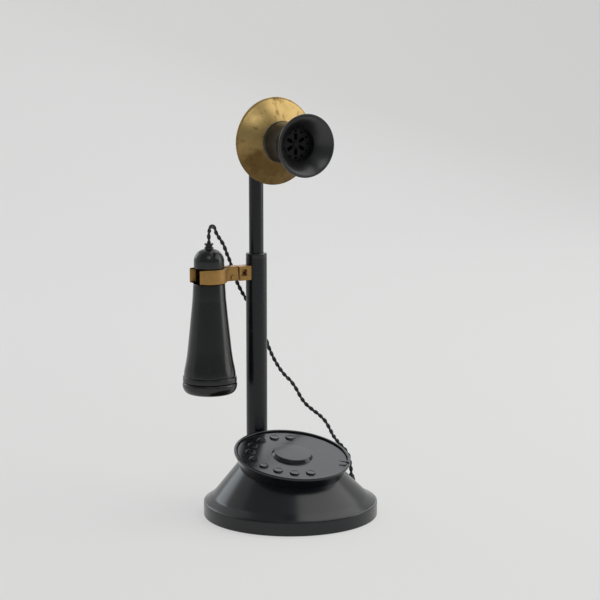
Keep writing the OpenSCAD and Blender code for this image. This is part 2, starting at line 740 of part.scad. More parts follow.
// Cast foot on the base plate, with the socket that the lower tube stands in
module stem_foot() {
  color(black) difference() {
    union() {
      intersection() {
        at_stem() translate([-foot_half, -foot_front, plate_top])
          cube([2 * foot_half, 2 * foot_front, foot_t]);
        cylinder(r = rim_in - 1, h = socket_top, $fn = 96);
      }
      at_stem() rotate_extrude() polygon([
        [0, plate_top], [socket_r, plate_top], [socket_r, socket_top - 1],
        [socket_r - 1, socket_top], [0, socket_top]
      ]);
    }
    at_stem() translate([0, 0, tube_seat]) cylinder(r = lower_r, h = 60);
    at_stem() translate([-2, -socket_r - 2, tube_seat]) cube([4, 8, 5]);
    foot_screw_places()
      translate([0, 0, plate_top - 1]) cylinder(r = plate_screw_r, h = foot_t + 2, $fn = 24);
  }
}
module foot_screws() {
  color(steel) foot_screw_places()
    translate([0, 0, plate_top + foot_t]) rotate([0, 0, 30])
      screw(plate_screw_r, plate_t + foot_t - 0.2, 2.8, 1.6);
}

// Lower tube with the slot that the hook's tail goes through
module lower_tube() {
  color(black) at_stem() difference() {
    translate([0, 0, tube_seat]) cylinder(r = lower_r, h = lower_top - nut_h - tube_seat);
    translate([0, 0, tube_seat - 1]) cylinder(r = lower_r - tube_wall, h = lower_top);
    translate([-lower_r - 1, -tongue_half - 0.3, window_low + 0.4])
      cube([lower_r, 2 * tongue_half + 0.6, window_high - window_low - 0.4 + 0.2]);
    translate([-1.6, -lower_r - 1, tube_seat - 1]) cube([3.2, lower_r, 5]);
  }
}

// Reducing nut at the top of the lower tube, rounded over, that grips the upper tube
module tube_nut() {
  edge = 1.2;
  color(black_satin) at_stem() rotate_extrude() polygon([
    [upper_r + 0.02, upper_bottom], [lower_r - tube_wall - 0.02, upper_bottom],
    [lower_r - tube_wall - 0.02, lower_top - nut_h], [lower_r, lower_top - nut_h],
    [lower_r, lower_top - edge], [lower_r - edge * 0.3, lower_top - edge * 0.3],
    [lower_r - edge, lower_top], [upper_r + 0.02, lower_top]
  ]);
}
module upper_tube() {
  color(black) at_stem() difference() {
    translate([0, 0, upper_bottom]) cylinder(r = upper_r, h = upper_top - upper_bottom);
    translate([0, 0, upper_bottom - 1]) cylinder(r = upper_r - tube_wall, h = pivot_z);
  }
}

// Head of the stem: a socket over the upper tube and two ears for the pivot screw
module head_clevis() {
  ear_low = upper_top + 1;
  color(black) at_stem() difference() {
    union() {
      rotate_extrude() polygon([
        [0, clevis_bottom], [upper_r + 0.9, clevis_bottom], [upper_r + 1.6, clevis_bottom + 1],
        [cheek_gap + cheek_t, ear_low - 1], [cheek_gap + cheek_t, ear_low + 0.6], [0, ear_low + 0.6]
      ]);
      for (s = [-1, 1]) translate([s * (cheek_gap + cheek_t / 2) - cheek_t / 2, 0, 0]) union() {
        translate([0, -cheek_r + 0.8, ear_low - 2])
          cube([cheek_t, 2 * cheek_r - 1.6, pivot_z - ear_low + 2]);
        translate([0, 0, pivot_z]) rotate([0, 90, 0]) cylinder(r = cheek_r, h = cheek_t);
      }
    }
    translate([0, 0, clevis_bottom - 1]) cylinder(r = upper_r + 0.02, h = upper_top - clevis_bottom + 1);
    translate([-cheek_gap, -20, ear_low + 0.4]) cube([2 * cheek_gap, 40, 40]);
    translate([-20, 0, pivot_z]) rotate([0, 90, 0]) cylinder(r = pivot_r + 0.01, h = 40, $fn = 48);
    translate([0, 0, ear_low - 3]) cylinder(r = 2, h = 5, $fn = 32);
  }
}
// Pivot screw through both ears, and its knurled thumb nut
module tilt_screw() {
  outer = cheek_gap + cheek_t;
  color(brass) at_stem() translate([-outer, 0, pivot_z]) rotate([0, -90, 0])
    screw(pivot_r, 2 * outer + 5, 3.8, 2);
}
module tilt_nut() {
  outer = cheek_gap + cheek_t;
  color(brass) at_stem() translate([outer, 0, pivot_z]) rotate([0, 90, 0]) difference() {
    rotate_extrude() polygon([[pivot_r, 0], [5, 0], [5.4, 0.5], [5.4, 3], [4.8, 3.6], [pivot_r, 3.6]]);
    ring_of(5.7, [for (i = [0:17]) i * 20]) translate([0, 0, -1]) cylinder(r = 0.5, h = 6, $fn = 16);
  }
}

// ---- Hook ----

// Brass bracket on the lower tube: two bars with a window between them, and a tongue for the pin
module hook_bracket() {
  color(brass) at_stem() difference() {
    union() {
      translate([-bracket_out, -yoke_half, band_bottom])
        cube([bracket_out, 2 * yoke_half, window_low - band_bottom]);
      translate([-bracket_out, -yoke_half, window_high])
        cube([bracket_out, 2 * yoke_half, band_top - window_high]);
      translate([-bracket_out, -yoke_half, band_bottom])
        cube([bracket_out - 15, 2 * yoke_half, band_h]);
      translate([-post_out, -yoke_half, band_bottom]) cube([post_out, 2 * yoke_half, band_h]);
      translate([-pin_x, -tongue_half, pin_z - 2.6]) cube([pin_x - bracket_out + 1, 2 * tongue_half, 4.2]);
      translate([-pin_x, tongue_half, pin_z]) rotate([90, 0, 0])
        cylinder(r = hook_pin_r + 1.3, h = 2 * tongue_half, $fn = 32);
    }
    translate([0, 0, band_bottom - 1]) cylinder(r = lower_r, h = band_h + 2);
    translate([-bracket_out - 1, -tongue_half - 0.3, window_low + 0.3])
      cube([bracket_out, 2 * tongue_half + 0.6, window_high - window_low - 0.3]);
    translate([-pin_x, 10, pin_z]) rotate([90, 0, 0]) cylinder(r = hook_pin_r, h = 20, $fn = 32);
  }
}
module hook_pin() {
  color(steel) at_stem() translate([-pin_x, 0, pin_z]) rotate([90, 0, 0]) union() {
    translate([0, 0, -yoke_half - 0.2]) cylinder(r = hook_pin_r, h = 2 * yoke_half + 0.4, $fn = 32);
    for (s = [-1, 1]) translate([0, 0, s * (yoke_half + 0.55) - 0.35])
      cylinder(r = hook_pin_r + 0.7, h = 0.7, $fn = 32);
  }
}

// Plan of one side of the fork about the receiver's axis: a ring that opens into a straight prong
fork_tip = 0.8;
function arc(r, end, side, steps) = [
  for (i = [0:steps]) let (a = end * i / steps) [r * cos(a), side * r * sin(a)]
];
function fork_outline(side) =
  let (
    f = fork_half, g = fork_half + fork_t, t = fork_tip, k = fork_tip * 0.3,
    inner = arc(fork_in_r, 180 - asin(f / fork_in_r), side, 20),
    outer = arc(fork_r, 180 - asin(g / fork_r), side, 24),
    tip = [[t, g], [k, g - k], [0, g - t], [0, f + t], [k, f + k], [t, f]]
  )
    concat(outer, [for (p = tip) [p[0] - prong_l, side * p[1]]],
      [for (i = [20:-1:0]) inner[i]]);
module hook_lever() {
  color(brass) difference() {
    union() {
      at_receiver() translate([0, 0, band_bottom]) linear_extrude(height = band_h) union() {
        polygon(fork_outline(1));
        polygon(fork_outline(-1));
      }
      at_stem() translate([0, yoke_half, band_bottom + 0.4]) rotate([90, 0, 0])
        linear_extrude(height = 2 * yoke_half) polygon([
          [-yoke_out, 0], [-yoke_in, 0], [-yoke_in - yoke_lean, band_h], [-yoke_out, band_h]
        ]);
      at_stem() translate([-yoke_in - 2, -tail_half, tail_bottom])
        cube([yoke_in + 2 - tail_end, 2 * tail_half, tail_t]);
    }
    at_stem() translate([-pin_x - 4, -tongue_half - 0.3, band_bottom - 1])
      cube([8.9 + 1, 2 * tongue_half + 0.6, tail_bottom - band_bottom + 1]);
    at_stem() translate([-pin_x, 10, pin_z]) rotate([90, 0, 0])
      cylinder(r = hook_pin_r + run_gap, h = 20, $fn = 32);
  }
}

// Coil that pushes the tail down and so lifts the hook
spring_wire = 0.5;
module hook_spring() {
  turns = 4;
  low = tail_bottom + tail_t + spring_wire / 2 + 0.05;
  high = upper_bottom - spring_wire / 2 - 0.05;
  steps = turns * 10;
  coil = [
    for (i = [0:steps])
      let (a = 36 * i) [-4 + 1.5 * cos(a), 1.5 * sin(a), mix(low, high, i / steps)]
  ];
  color(steel) at_stem() tube_along(coil, spring_wire / 2, 6, [0, 0, 1]);
}

// Stack of contact springs in the lower tube, under the hook's tail
contacts_z = 150;
module hook_contacts() {
  bore = lower_r - tube_wall;
  color(fibre) at_stem() union() {
    intersection() {
      translate([-3.4, -bore, contacts_z]) cube([3.4 + bore, 2 * bore, 9]);
      cylinder(r = bore - 0.05, h = 300);
    }
    for (i = [0:2])
      translate([-3 + 2 * i, -2, contacts_z]) cube([0.5, 4, pin_z + 0.2 - contacts_z - 2 * i]);
  }
}

// ---- Transmitter, in a frame with z forwards from the pivot ----

rim_back = rim_fwd - rim_depth;
bowl_r = 13;
bowl_back = 12.5;
face_front = rim_fwd + face_h;
flange_t = 1.2;

// Outline of the bowl from its flat back to the rim, w inside its outer surface
cup_steps = 14;
function cup_r(u, w) = mix(bowl_r, rim_r - 0.5, 1 - pow(u, 1.4)) - w;
function cup_curve(w) = [
  for (i = [0:cup_steps])
    let (u = 1 - i / cup_steps) [cup_r(u, w), mix(rim_back, bowl_back + w, u)]
];

// Spun brass back of the transmitter with the lug that swings between the clevis's ears
module transmitter_cup() {
  w = brass_wall;
  color(brass) at_transmitter() difference() {
    union() {
      rotate_extrude($fn = 96) polygon(concat(
        [[0, bowl_back], [bowl_r - 1, bowl_back]],
        cup_curve(0),
        [[rim_r - 0.5, rim_fwd - flange_t], [rim_r - 0.5 - w, rim_fwd - flange_t]],
        [for (i = [cup_steps:-1:0]) cup_curve(w)[i]],
        [[0, bowl_back + w]]
      ));
      rotate([0, 90, 0]) translate([0, 0, -cheek_gap + 0.15])
        cylinder(r = cheek_r - 0.8, h = 2 * cheek_gap - 0.3);
      translate([-cheek_gap + 0.15, -4.2, 0]) cube([2 * cheek_gap - 0.3, 8.4, bowl_back + w / 2]);
    }
    translate([-20, 0, 0]) rotate([0, 90, 0]) cylinder(r = pivot_r + run_gap, h = 40, $fn = 48);
  }
}

// Brass front: a rolled rim and a domed face with the hole that the mouthpiece screws into
function face_curve(inset) = [
  for (i = [0:8])
    let (u = i / 8)
      [mix(rim_r - 1 - inset * 0.4, neck_r - 0.2, u),
        rim_fwd + face_h * (0.35 * sin(90 * u) + 0.65 * u) - inset]
];
module transmitter_face() {
  w = brass_wall;
  color(brass) at_transmitter() rotate_extrude($fn = 96) polygon(concat(
    [[rim_r - 0.5 - w, rim_fwd - flange_t], [rim_r - 0.3, rim_fwd - flange_t],
      [rim_r, rim_fwd - flange_t + 0.4], [rim_r, rim_fwd - 0.4], [rim_r - 0.4, rim_fwd]],
    face_curve(0), [[neck_r - 2, face_front], [neck_r - 2, face_front - 3], [neck_r - 0.6, face_front - 3]],
    [for (i = [7:-1:1]) face_curve(w)[i]]
  ));
}
module transmitter_diaphragm() {
  color(steel) at_transmitter() translate([0, 0, rim_fwd - flange_t - 0.5])
    cylinder(r = rim_r - 0.5 - brass_wall - 0.3, h = 0.5, $fn = 72);
}
// Carbon chamber behind the diaphragm, on the bridge across the cup
button_front = rim_fwd - flange_t - 0.5;
module carbon_button() {
  color(brass) at_transmitter() rotate_extrude() polygon([
    [0, button_front - 9], [5, button_front - 9], [5, button_front - 7], [9, button_front - 7],
    [9, button_front - 1.2], [3, button_front - 1.2], [3, button_front], [0, button_front]
  ]);
}
// How far the cup's inside reaches at the bridge's back, from the cup's curve
button_h = 8.8;
bridge_w = button_front - button_h;
bridge_u = (rim_back - bridge_w) / (rim_back - bowl_back - brass_wall);
bridge_reach = cup_r(bridge_u, brass_wall) - 0.2;
module transmitter_bridge() {
  inner = rim_r - 0.5 - brass_wall;
  color(steel) at_transmitter() difference() {
    intersection() {
      translate([-inner, -7, bridge_w]) cube([2 * inner, 14, 1.6]);
      cylinder(r = bridge_reach, h = rim_fwd);
    }
    cylinder(r = 5, h = rim_fwd);
  }
}

// Black mouthpiece: threaded neck, flared horn and dished mouth
mouth_lip = 0.9;
horn_start = mouth_fwd - 19;
grille_t = 1.6;
function horn(u) = [mix(neck_r, mouth_r - 0.3, pow(u, 1.35)), mix(horn_start, mouth_fwd - 1.6, u)];
function dish(u) = [mix(mouth_r - 2.1, throat_r, pow(u, 0.8)), mix(mouth_fwd - 0.9, mouth_fwd - 10.6, u)];
module mouthpiece() {
  color(black) at_transmitter() rotate_extrude($fn = 96) polygon(concat(
    [[neck_r - 4, face_front - 3], [neck_r - 2.1, face_front - 3], [neck_r - 2.1, face_front + 0.05],
      [neck_r + 0.4, face_front + 0.05], [neck_r + 0.6, face_front + 1], [neck_r, face_front + 1.8]],
    [for (i = [0:8]) horn(i / 8)],
    [[mouth_r, mouth_fwd - 1.1], [mouth_r, mouth_fwd - 0.5], [mouth_r - 0.4, mouth_fwd],
      [mouth_r - mouth_lip, mouth_fwd], [mouth_r - mouth_lip - 0.5, mouth_fwd - 0.3]],
    [for (i = [0:8]) dish(i / 8)],
    [[throat_r, grille_fwd], [throat_r, grille_fwd - grille_t], [throat_r - 1.5, grille_fwd - grille_t],
      [neck_r - 4, grille_fwd - grille_t - 3]]
  ));
}
// Pierced grille: a centre boss, six slots between spokes and a ring of small holes
boss_top_r = 1.9;
module mouthpiece_grille() {
  slot_in = throat_r * 0.27;
  slot_out = throat_r * 0.66;
  color(black_satin) at_transmitter() difference() {
    union() {
      translate([0, 0, grille_fwd - grille_t + 0.02]) cylinder(r = throat_r - 0.03, h = grille_t - 0.02);
      translate([0, 0, grille_fwd - 0.1])
        cylinder(r1 = boss_top_r + 0.6, r2 = boss_top_r, h = 0.9, $fn = 32);
    }
    ring_of((slot_in + slot_out) / 2, [for (i = [0:5]) 30 + 60 * i])
      translate([(slot_in - slot_out) / 2, -1.3, grille_fwd - 5]) cube([slot_out - slot_in, 2.6, 10]);
    ring_of(throat_r * 0.82, [for (i = [0:11]) 30 * i])
      translate([0, 0, grille_fwd - 5]) cylinder(r = 0.9, h = 10, $fn = 24);
  }
}

// ---- Receiver ----

shell_t = 1.8;
thread_h = 5;
spigot_r = recv_neck_r - 1.8;
// Outside of the body from its top down to the thread of the ear cap
body_stations = [
  [0, 1], [0.16, 1.055], [0.36, 1.18], [0.56, 1.31], [0.7, 1.405], [0.8, 1.5], [0.88, 1.6], [1, 1.655]
];
body_h = body_top - ear_top;
function body_line(inset) = [
  for (s = body_stations) [body_top_r * s[1] - inset, body_top - body_h * s[0]]
];
module receiver_body() {
  color(black) at_receiver() rotate_extrude($fn = 96) polygon(concat(
    [[0, cap_bottom + 3], [spigot_r, cap_bottom + 3], [spigot_r, cap_bottom],
      [recv_neck_r, cap_bottom], [recv_neck_r, body_top],
      [body_top_r - 1, body_top], [body_top_r - 0.3, body_top - 0.3]],
    [for (i = [1:7]) body_line(0)[i]],
    [[body_top_r * 1.655 - 2.2, ear_top], [body_top_r * 1.655 - 2.2, ear_top - thread_h],
      [body_top_r * 1.655 - 4, ear_top - thread_h], [body_top_r * 1.655 - 4, ear_top]],
    [for (i = [6:-1:1]) body_line(shell_t)[i]],
    [[0, body_line(0)[1][1]]]
  ));
}

// Domed cap over the cord's end, screwed on the neck
module receiver_cap() {
  dome_h = cap_h - 5;
  color(black) at_receiver() rotate_extrude($fn = 72) polygon(concat(
    [[spigot_r + 0.02, cap_bottom], [cap_r - 0.5, cap_bottom], [cap_r, cap_bottom + 0.5]],
    [for (i = [0:9]) let (a = 10 * i)
      [max(ferrule_r + 0.02, cap_r * pow(cos(a), 0.9)), cap_bottom + 5 + dome_h * sin(a)]],
    [[ferrule_r + 0.02, cap_top - 2.5], [0, cap_top - 2.5], [0, cap_bottom + 3.02],
      [spigot_r + 0.02, cap_bottom + 3.02]]
  ));
}
module cord_ferrule() {
  color(black_satin) at_receiver() rotate_extrude($fn = 32) polygon([
    [0, cap_top - 2.48], [ferrule_r, cap_top - 2.48], [ferrule_r, cap_top + 0.6],
    [ferrule_r - 0.8, cap_top + 1.2], [ferrule_r - 0.8, ferrule_top - 1.6],
    [ferrule_r, ferrule_top - 1.1], [ferrule_r - 0.4, ferrule_top], [0, ferrule_top]
  ]);
}

// Ear cap: a rounded flange on the thread and a dished, pierced face below
sound_ring_r = 4.4;
sound_hole_h = 8;
module ear_cap() {
  thread_r = body_top_r * 1.655 - 2.2;
  color(black) at_receiver() difference() {
    rotate_extrude($fn = 96) polygon(concat(
      [[thread_r + 0.05, ear_top - 0.05]],
      [for (a = [80:-20:0]) [ear_r - 1.6 + 1.6 * cos(a), ear_top - 1.7 + 1.6 * sin(a)]],
      [for (a = [0:10:90]) [
        ear_r - 7.6 + 7.6 * pow(cos(a), 0.55), ear_top - 2.6 - (ear_h - 2.6) * pow(sin(a), 1.25)]],
      [[5, ear_z + 1.6], [0, ear_z + 2], [0, ear_z + 3.6], [thread_r + 0.05, ear_z + 3.6]]
    ));
    translate([0, 0, ear_z]) cylinder(r = 1.4, h = sound_hole_h, $fn = 24);
    ring_of(sound_ring_r, [for (i = [0:5]) 60 * i])
      translate([0, 0, ear_z]) cylinder(r = 1, h = sound_hole_h, $fn = 24);
  }
}
module receiver_diaphragm() {
  color(steel) at_receiver() translate([0, 0, ear_z + 3.62])
    cylinder(r = body_top_r * 1.655 - 2.4, h = ear_top - thread_h - ear_z - 3.64, $fn = 72);
}
// Horseshoe magnet under a disc that fits the body, with its two coils over the diaphragm
magnet_top = 138;
magnet_disc_at = (body_top - magnet_top - 1.6) / body_h;
magnet_disc_r = body_top_r * lookup(magnet_disc_at, body_stations) - shell_t - seat_gap;
pole_gap = 2.2;
module receiver_magnet() {
  low = ear_top - thread_h + 0.4;
  color(steel) at_receiver() difference() {
    union() {
      translate([-pole_gap - 4, -2.5, low]) cube([2 * pole_gap + 8, 5, magnet_top - low]);
      translate([0, 0, magnet_top])
        cylinder(r = magnet_disc_r, h = 1.6);
    }
    translate([-pole_gap, -3, low - 1]) cube([2 * pole_gap, 6, magnet_top - low - 5]);
  }
}
module receiver_coils() {
  low = ear_top - thread_h + 2;
  color([0.55, 0.25, 0.1]) at_receiver() for (s = [-1, 1]) difference() {
    translate([s * (pole_gap + 2) - (s > 0 ? 4.1 : 5.4), -5, low]) cube([9.5, 10, 9]);
    translate([s * (pole_gap + 2) - 2.05, -2.55, low - 1]) cube([4.1, 5.1, 11]);
    translate([-0.2, -10, low - 1]) cube([0.4, 20, 11]);
    translate([s > 0 ? -10.1 : 0.1, -10, low - 1]) cube([10, 20, 11]);
  }
}

// ---- Receiver cord ----

module receiver_cord_lower() {
  color(black_satin) tube_along(lower_route, cord_d / 2, cord_sides);
}
module receiver_cord_upper() {
  color(black_satin) tube_along(upper_route, cord_d / 2, cord_sides);
}

base_pad();
base_plate();
plate_screws();
base_shell();
stem_foot();
foot_screws();
terminal_block();
terminal_screws();
cord_grommet();
line_bush();
inner_leads();
dial_cup();
dial_plate();
dial_plate_screws();
finger_stop();
mech_plate();
mech_pillars();
bridge_plate();
spindle_bush();
impulse_springs();
return_spring();
governor_drum();
finger_wheel();
hub_cap();
dial_spindle();
main_gear();
impulse_wheel();
governor_shaft();
governor_weights();
lower_tube();
tube_nut();
upper_tube();
head_clevis();
tilt_screw();
tilt_nut();
hook_bracket();
hook_pin();
hook_lever();
hook_spring();
hook_contacts();
transmitter_cup();
transmitter_face();
transmitter_diaphragm();
carbon_button();
transmitter_bridge();
mouthpiece();
mouthpiece_grille();
receiver_body();
receiver_cap();
cord_ferrule();
ear_cap();
receiver_diaphragm();
receiver_magnet();
receiver_coils();
receiver_cord_lower();
receiver_cord_upper();
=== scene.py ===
"""Looks of a candlestick telephone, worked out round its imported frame.

Lengths in the settings are metres; the shapes below are worked out in millimetres, in the
frame's own axes, and scaled once when a mesh is made.
"""
import json
import math
import bpy
import numpy as np
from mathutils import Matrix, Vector


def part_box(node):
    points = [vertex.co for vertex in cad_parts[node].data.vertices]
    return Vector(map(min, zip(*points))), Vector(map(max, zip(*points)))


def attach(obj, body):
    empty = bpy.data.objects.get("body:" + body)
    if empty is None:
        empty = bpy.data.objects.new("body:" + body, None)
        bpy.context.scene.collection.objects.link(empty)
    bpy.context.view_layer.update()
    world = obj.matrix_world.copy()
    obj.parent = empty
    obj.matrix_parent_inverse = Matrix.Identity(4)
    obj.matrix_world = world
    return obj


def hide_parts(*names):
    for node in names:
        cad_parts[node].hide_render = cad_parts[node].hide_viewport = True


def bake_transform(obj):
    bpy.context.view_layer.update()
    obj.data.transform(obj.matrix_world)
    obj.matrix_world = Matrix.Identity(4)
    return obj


bl_info = {
    "name": "Candlestick telephone",
    "version": (1, 0, 0),
    "blender": (4, 5, 0),
    "location": "3D View > Sidebar > Telephone",
    "description": "Builds the finished surfaces and finishes of a candlestick telephone",
    "category": "Add Mesh",
}

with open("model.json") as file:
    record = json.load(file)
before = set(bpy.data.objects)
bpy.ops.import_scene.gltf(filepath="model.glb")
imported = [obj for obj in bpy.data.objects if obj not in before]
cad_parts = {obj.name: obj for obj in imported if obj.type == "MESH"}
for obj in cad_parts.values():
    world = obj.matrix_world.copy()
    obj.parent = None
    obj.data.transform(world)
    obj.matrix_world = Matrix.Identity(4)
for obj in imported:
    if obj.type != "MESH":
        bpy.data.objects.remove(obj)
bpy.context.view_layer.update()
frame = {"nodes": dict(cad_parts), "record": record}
NODES = frame["nodes"]
TILT = math.radians(12.3)              # of the dial, towards the user
STOP_ANGLE = math.radians(-38)         # of the finger stop, round the dial
FIRST_CUP, CUP_PITCH = 64, 22.5        # of the finger cups, in degrees


# ---------------------------------------------------------------- settings

def box_mm(node):
    """Lowest and highest corner of a CAD node, in millimetres."""
    low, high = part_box(node)
    return np.array(low) * 1000, np.array(high) * 1000


def length(name, text, value):
    """A length setting in metres, with its default given in millimetres."""
    return bpy.props.FloatProperty(name=name, description=text, default=value / 1000, min=0,
                                   unit="LENGTH", precision=5)


def colour(name, text, value):
    """A colour setting, linear red, green and blue."""
    return bpy.props.FloatVectorProperty(name=name, description=text, default=value, min=0,
                                         max=1, size=3, subtype="COLOR")


CAP = box_mm("receiver_cap")


class TelephoneSizes(bpy.types.PropertyGroup):
    """Sizes of the finished surfaces."""
    base_radius: length("Base radius", "Radius of the base over its rim", 65.0)
    rim_height: length("Rim height", "Height of the base's straight rim", 10.8)
    dial_radius: length("Dial radius", "Radius over the dial's lip", 43.7)
    dial_height: length("Dial height", "Height of the middle of the dial's lip", 46.4)
    hub_radius: length("Hub radius", "Radius of the dial's raised hub", 15.5)
    finger_ring: length("Finger ring", "Radius of the ring of finger cups", 31.5)
    stem_back: length("Stem", "Distance of the stem behind the base's middle", 52.0)
    pivot_height: length("Pivot height", "Height of the transmitter's pivot", 278.1)
    rim_radius: length("Transmitter radius", "Radius of the brass transmitter", 32.5)
    mouth_radius: length("Mouth radius", "Radius of the mouthpiece's mouth", 23.1)
    cap_radius: length("Cap radius", "Radius of the receiver's domed cap",
                       float(CAP[1][0] - CAP[0][0]) / 2)
    cord_diameter: length("Cord diameter", "Diameter of the twisted receiver cord", 3.0)
    cord_pitch: length("Cord twist", "Length of one full twist of the cord's two strands", 10.0)
    soft_edge: length("Soft edge", "Width of the rounding on the edges of small pieces", 0.25)


class TelephoneColours(bpy.types.PropertyGroup):
    """Colours of the finishes."""
    enamel: colour("Enamel", "Black enamel of the base, dial and stem", (0.006, 0.007, 0.009))
    dust: colour("Dust", "Dust that lies on the black pieces", (0.10, 0.10, 0.10))
    ebonite: colour("Ebonite", "Black moulding of receiver and mouthpiece", (0.007, 0.0075, 0.007))
    brass: colour("Brass", "Polished brass of the transmitter", (0.50, 0.35, 0.135))
    tarnish: colour("Tarnish", "Tarnished brass", (0.115, 0.066, 0.022))
    hook_brass: colour("Hook brass", "Warmer brass of the hook", (0.44, 0.245, 0.065))
    steel: colour("Steel", "Bright steel of pins and screws", (0.52, 0.53, 0.55))
    cotton: colour("Cotton", "Black cotton over the cord's strands", (0.014, 0.014, 0.016))
    felt: colour("Felt", "Felt under the base", (0.035, 0.060, 0.042))
    fibre: colour("Fibre", "Red-brown insulating board", (0.16, 0.055, 0.03))
    copper: colour("Copper", "Enamelled copper of the coils", (0.36, 0.12, 0.05))
    floor: colour("Floor", "Floor and backdrop", (0.80, 0.80, 0.79))


def sizes():
    return bpy.context.scene.telephone_sizes


def colours():
    return bpy.context.scene.telephone_colours


def mm(name):
    """One size setting, in millimetres."""
    return getattr(sizes(), name) * 1000


# ---------------------------------------------------------------- profiles and meshes

def rounded(points, radii, steps=6, closed=True):
    """Corners of a polygon turned into arcs.

    At each corner the two edges leave along unit vectors a and b that enclose the angle q.
    The arc of radius r starts r / tan(q/2) along a and ends as far along b, and its centre lies
    on the bisector at r / sin(q/2). The start is never past 0.48 of the shorter edge.
    """
    p = np.asarray(points, float)
    r = np.broadcast_to(np.asarray(radii, float), len(p)).copy()
    before, after = np.roll(p, 1, 0) - p, np.roll(p, -1, 0) - p
    la, lb = np.linalg.norm(before, axis=1), np.linalg.norm(after, axis=1)
    a, b = before / la[:, None], after / lb[:, None]
    half = np.arccos(np.clip((a * b).sum(1), -1, 1)) / 2
    flat = (half > math.pi / 2 - 0.01) | (r < 1e-6)
    if not closed:
        flat[[0, -1]] = True
    half = np.where(flat, 1.0, half)
    reach = np.minimum(r / np.tan(half), 0.48 * np.minimum(la, lb))
    r = reach * np.tan(half)
    bisector = a + b
    bisector /= np.maximum(np.linalg.norm(bisector, axis=1), 1e-9)[:, None]
    centre = p + bisector * (r / np.sin(half))[:, None]
    start, end = p + a * reach[:, None] - centre, p + b * reach[:, None] - centre
    t = np.linspace(0, 1, steps + 1)[None, :, None]
    turn = (math.pi - 2 * half)[:, None, None]
    arc = (np.sin((1 - t) * turn) * start[:, None] + np.sin(t * turn) * end[:, None]) / np.sin(turn)
    arc = np.where(flat[:, None, None], p[:, None], centre[:, None] + arc)
    return thinned(arc.reshape(-1, p.shape[1]), closed)


def thinned(points, closed=True):
    """The points without those that repeat the one before."""
    step = np.linalg.norm(points - np.roll(points, 1, 0), axis=1)
    keep = step > 1e-4
    if not closed:
        keep[0] = True
    return points[keep]


def braced(points, near=0.35, closed=True):
    """Extra points close to both ends of each long edge, which keep the shading of a rounded
    edge off the flat beside it: at the distance near from each end, where the edge is longer
    than three times that."""
    p = np.asarray(points, float)
    q = np.roll(p, -1, 0)
    span = np.linalg.norm(q - p, axis=1)
    share = np.where(span > 3 * near, near / np.maximum(span, 1e-9), 0.0)[:, None]
    if not closed:
        share[-1] = 0
    made = np.stack([p, p + (q - p) * share, q - (q - p) * share], 1)
    made[:, 2] = np.where(share > 0, made[:, 2], p)
    return thinned(made.reshape(-1, p.shape[1]), closed)


def smooth_through(points, steps=8):
    """A curve through all the points: between p1 and p2 the cubic whose slopes at both are half
    the chord between their neighbours (Catmull and Rom's rule), the ends repeated."""
    p = np.asarray(points, float)
    q = np.vstack([2 * p[0] - p[1], p, 2 * p[-1] - p[-2]])
    t = np.linspace(0, 1, steps, endpoint=False)[None, :, None]
    a, b, c, d = (q[i:len(q) - 3 + i][:, None] for i in range(4))
    curve = 0.5 * (2 * b + (c - a) * t + (2 * a - 5 * b + 4 * c - d) * t ** 2
                   + (3 * b - a - 3 * c + d) * t ** 3)
    return np.vstack([curve.reshape(-1, p.shape[1]), p[-1:]])


def turned(profile, sides=128, poles=False):
    """A profile of (radius, height) turned about the third axis: x = r cos a, y = r sin a.

    Returns points (rows, sides, 3). With poles the first and last profile points are on the
    axis and are returned apart, as the two poles.
    """
    p = np.asarray(profile, float)
    ends = None
    if poles:
        ends = np.array([[0, 0, p[0, 1]], [0, 0, p[-1, 1]]])
        p = p[1:-1]
    a = np.linspace(0, 2 * math.pi, sides, endpoint=False)
    r = p[:, 0][:, None]
    height = np.broadcast_to(p[:, 1][:, None], (len(p), sides))
    return np.stack([r * np.cos(a), r * np.sin(a), height], 2), ends


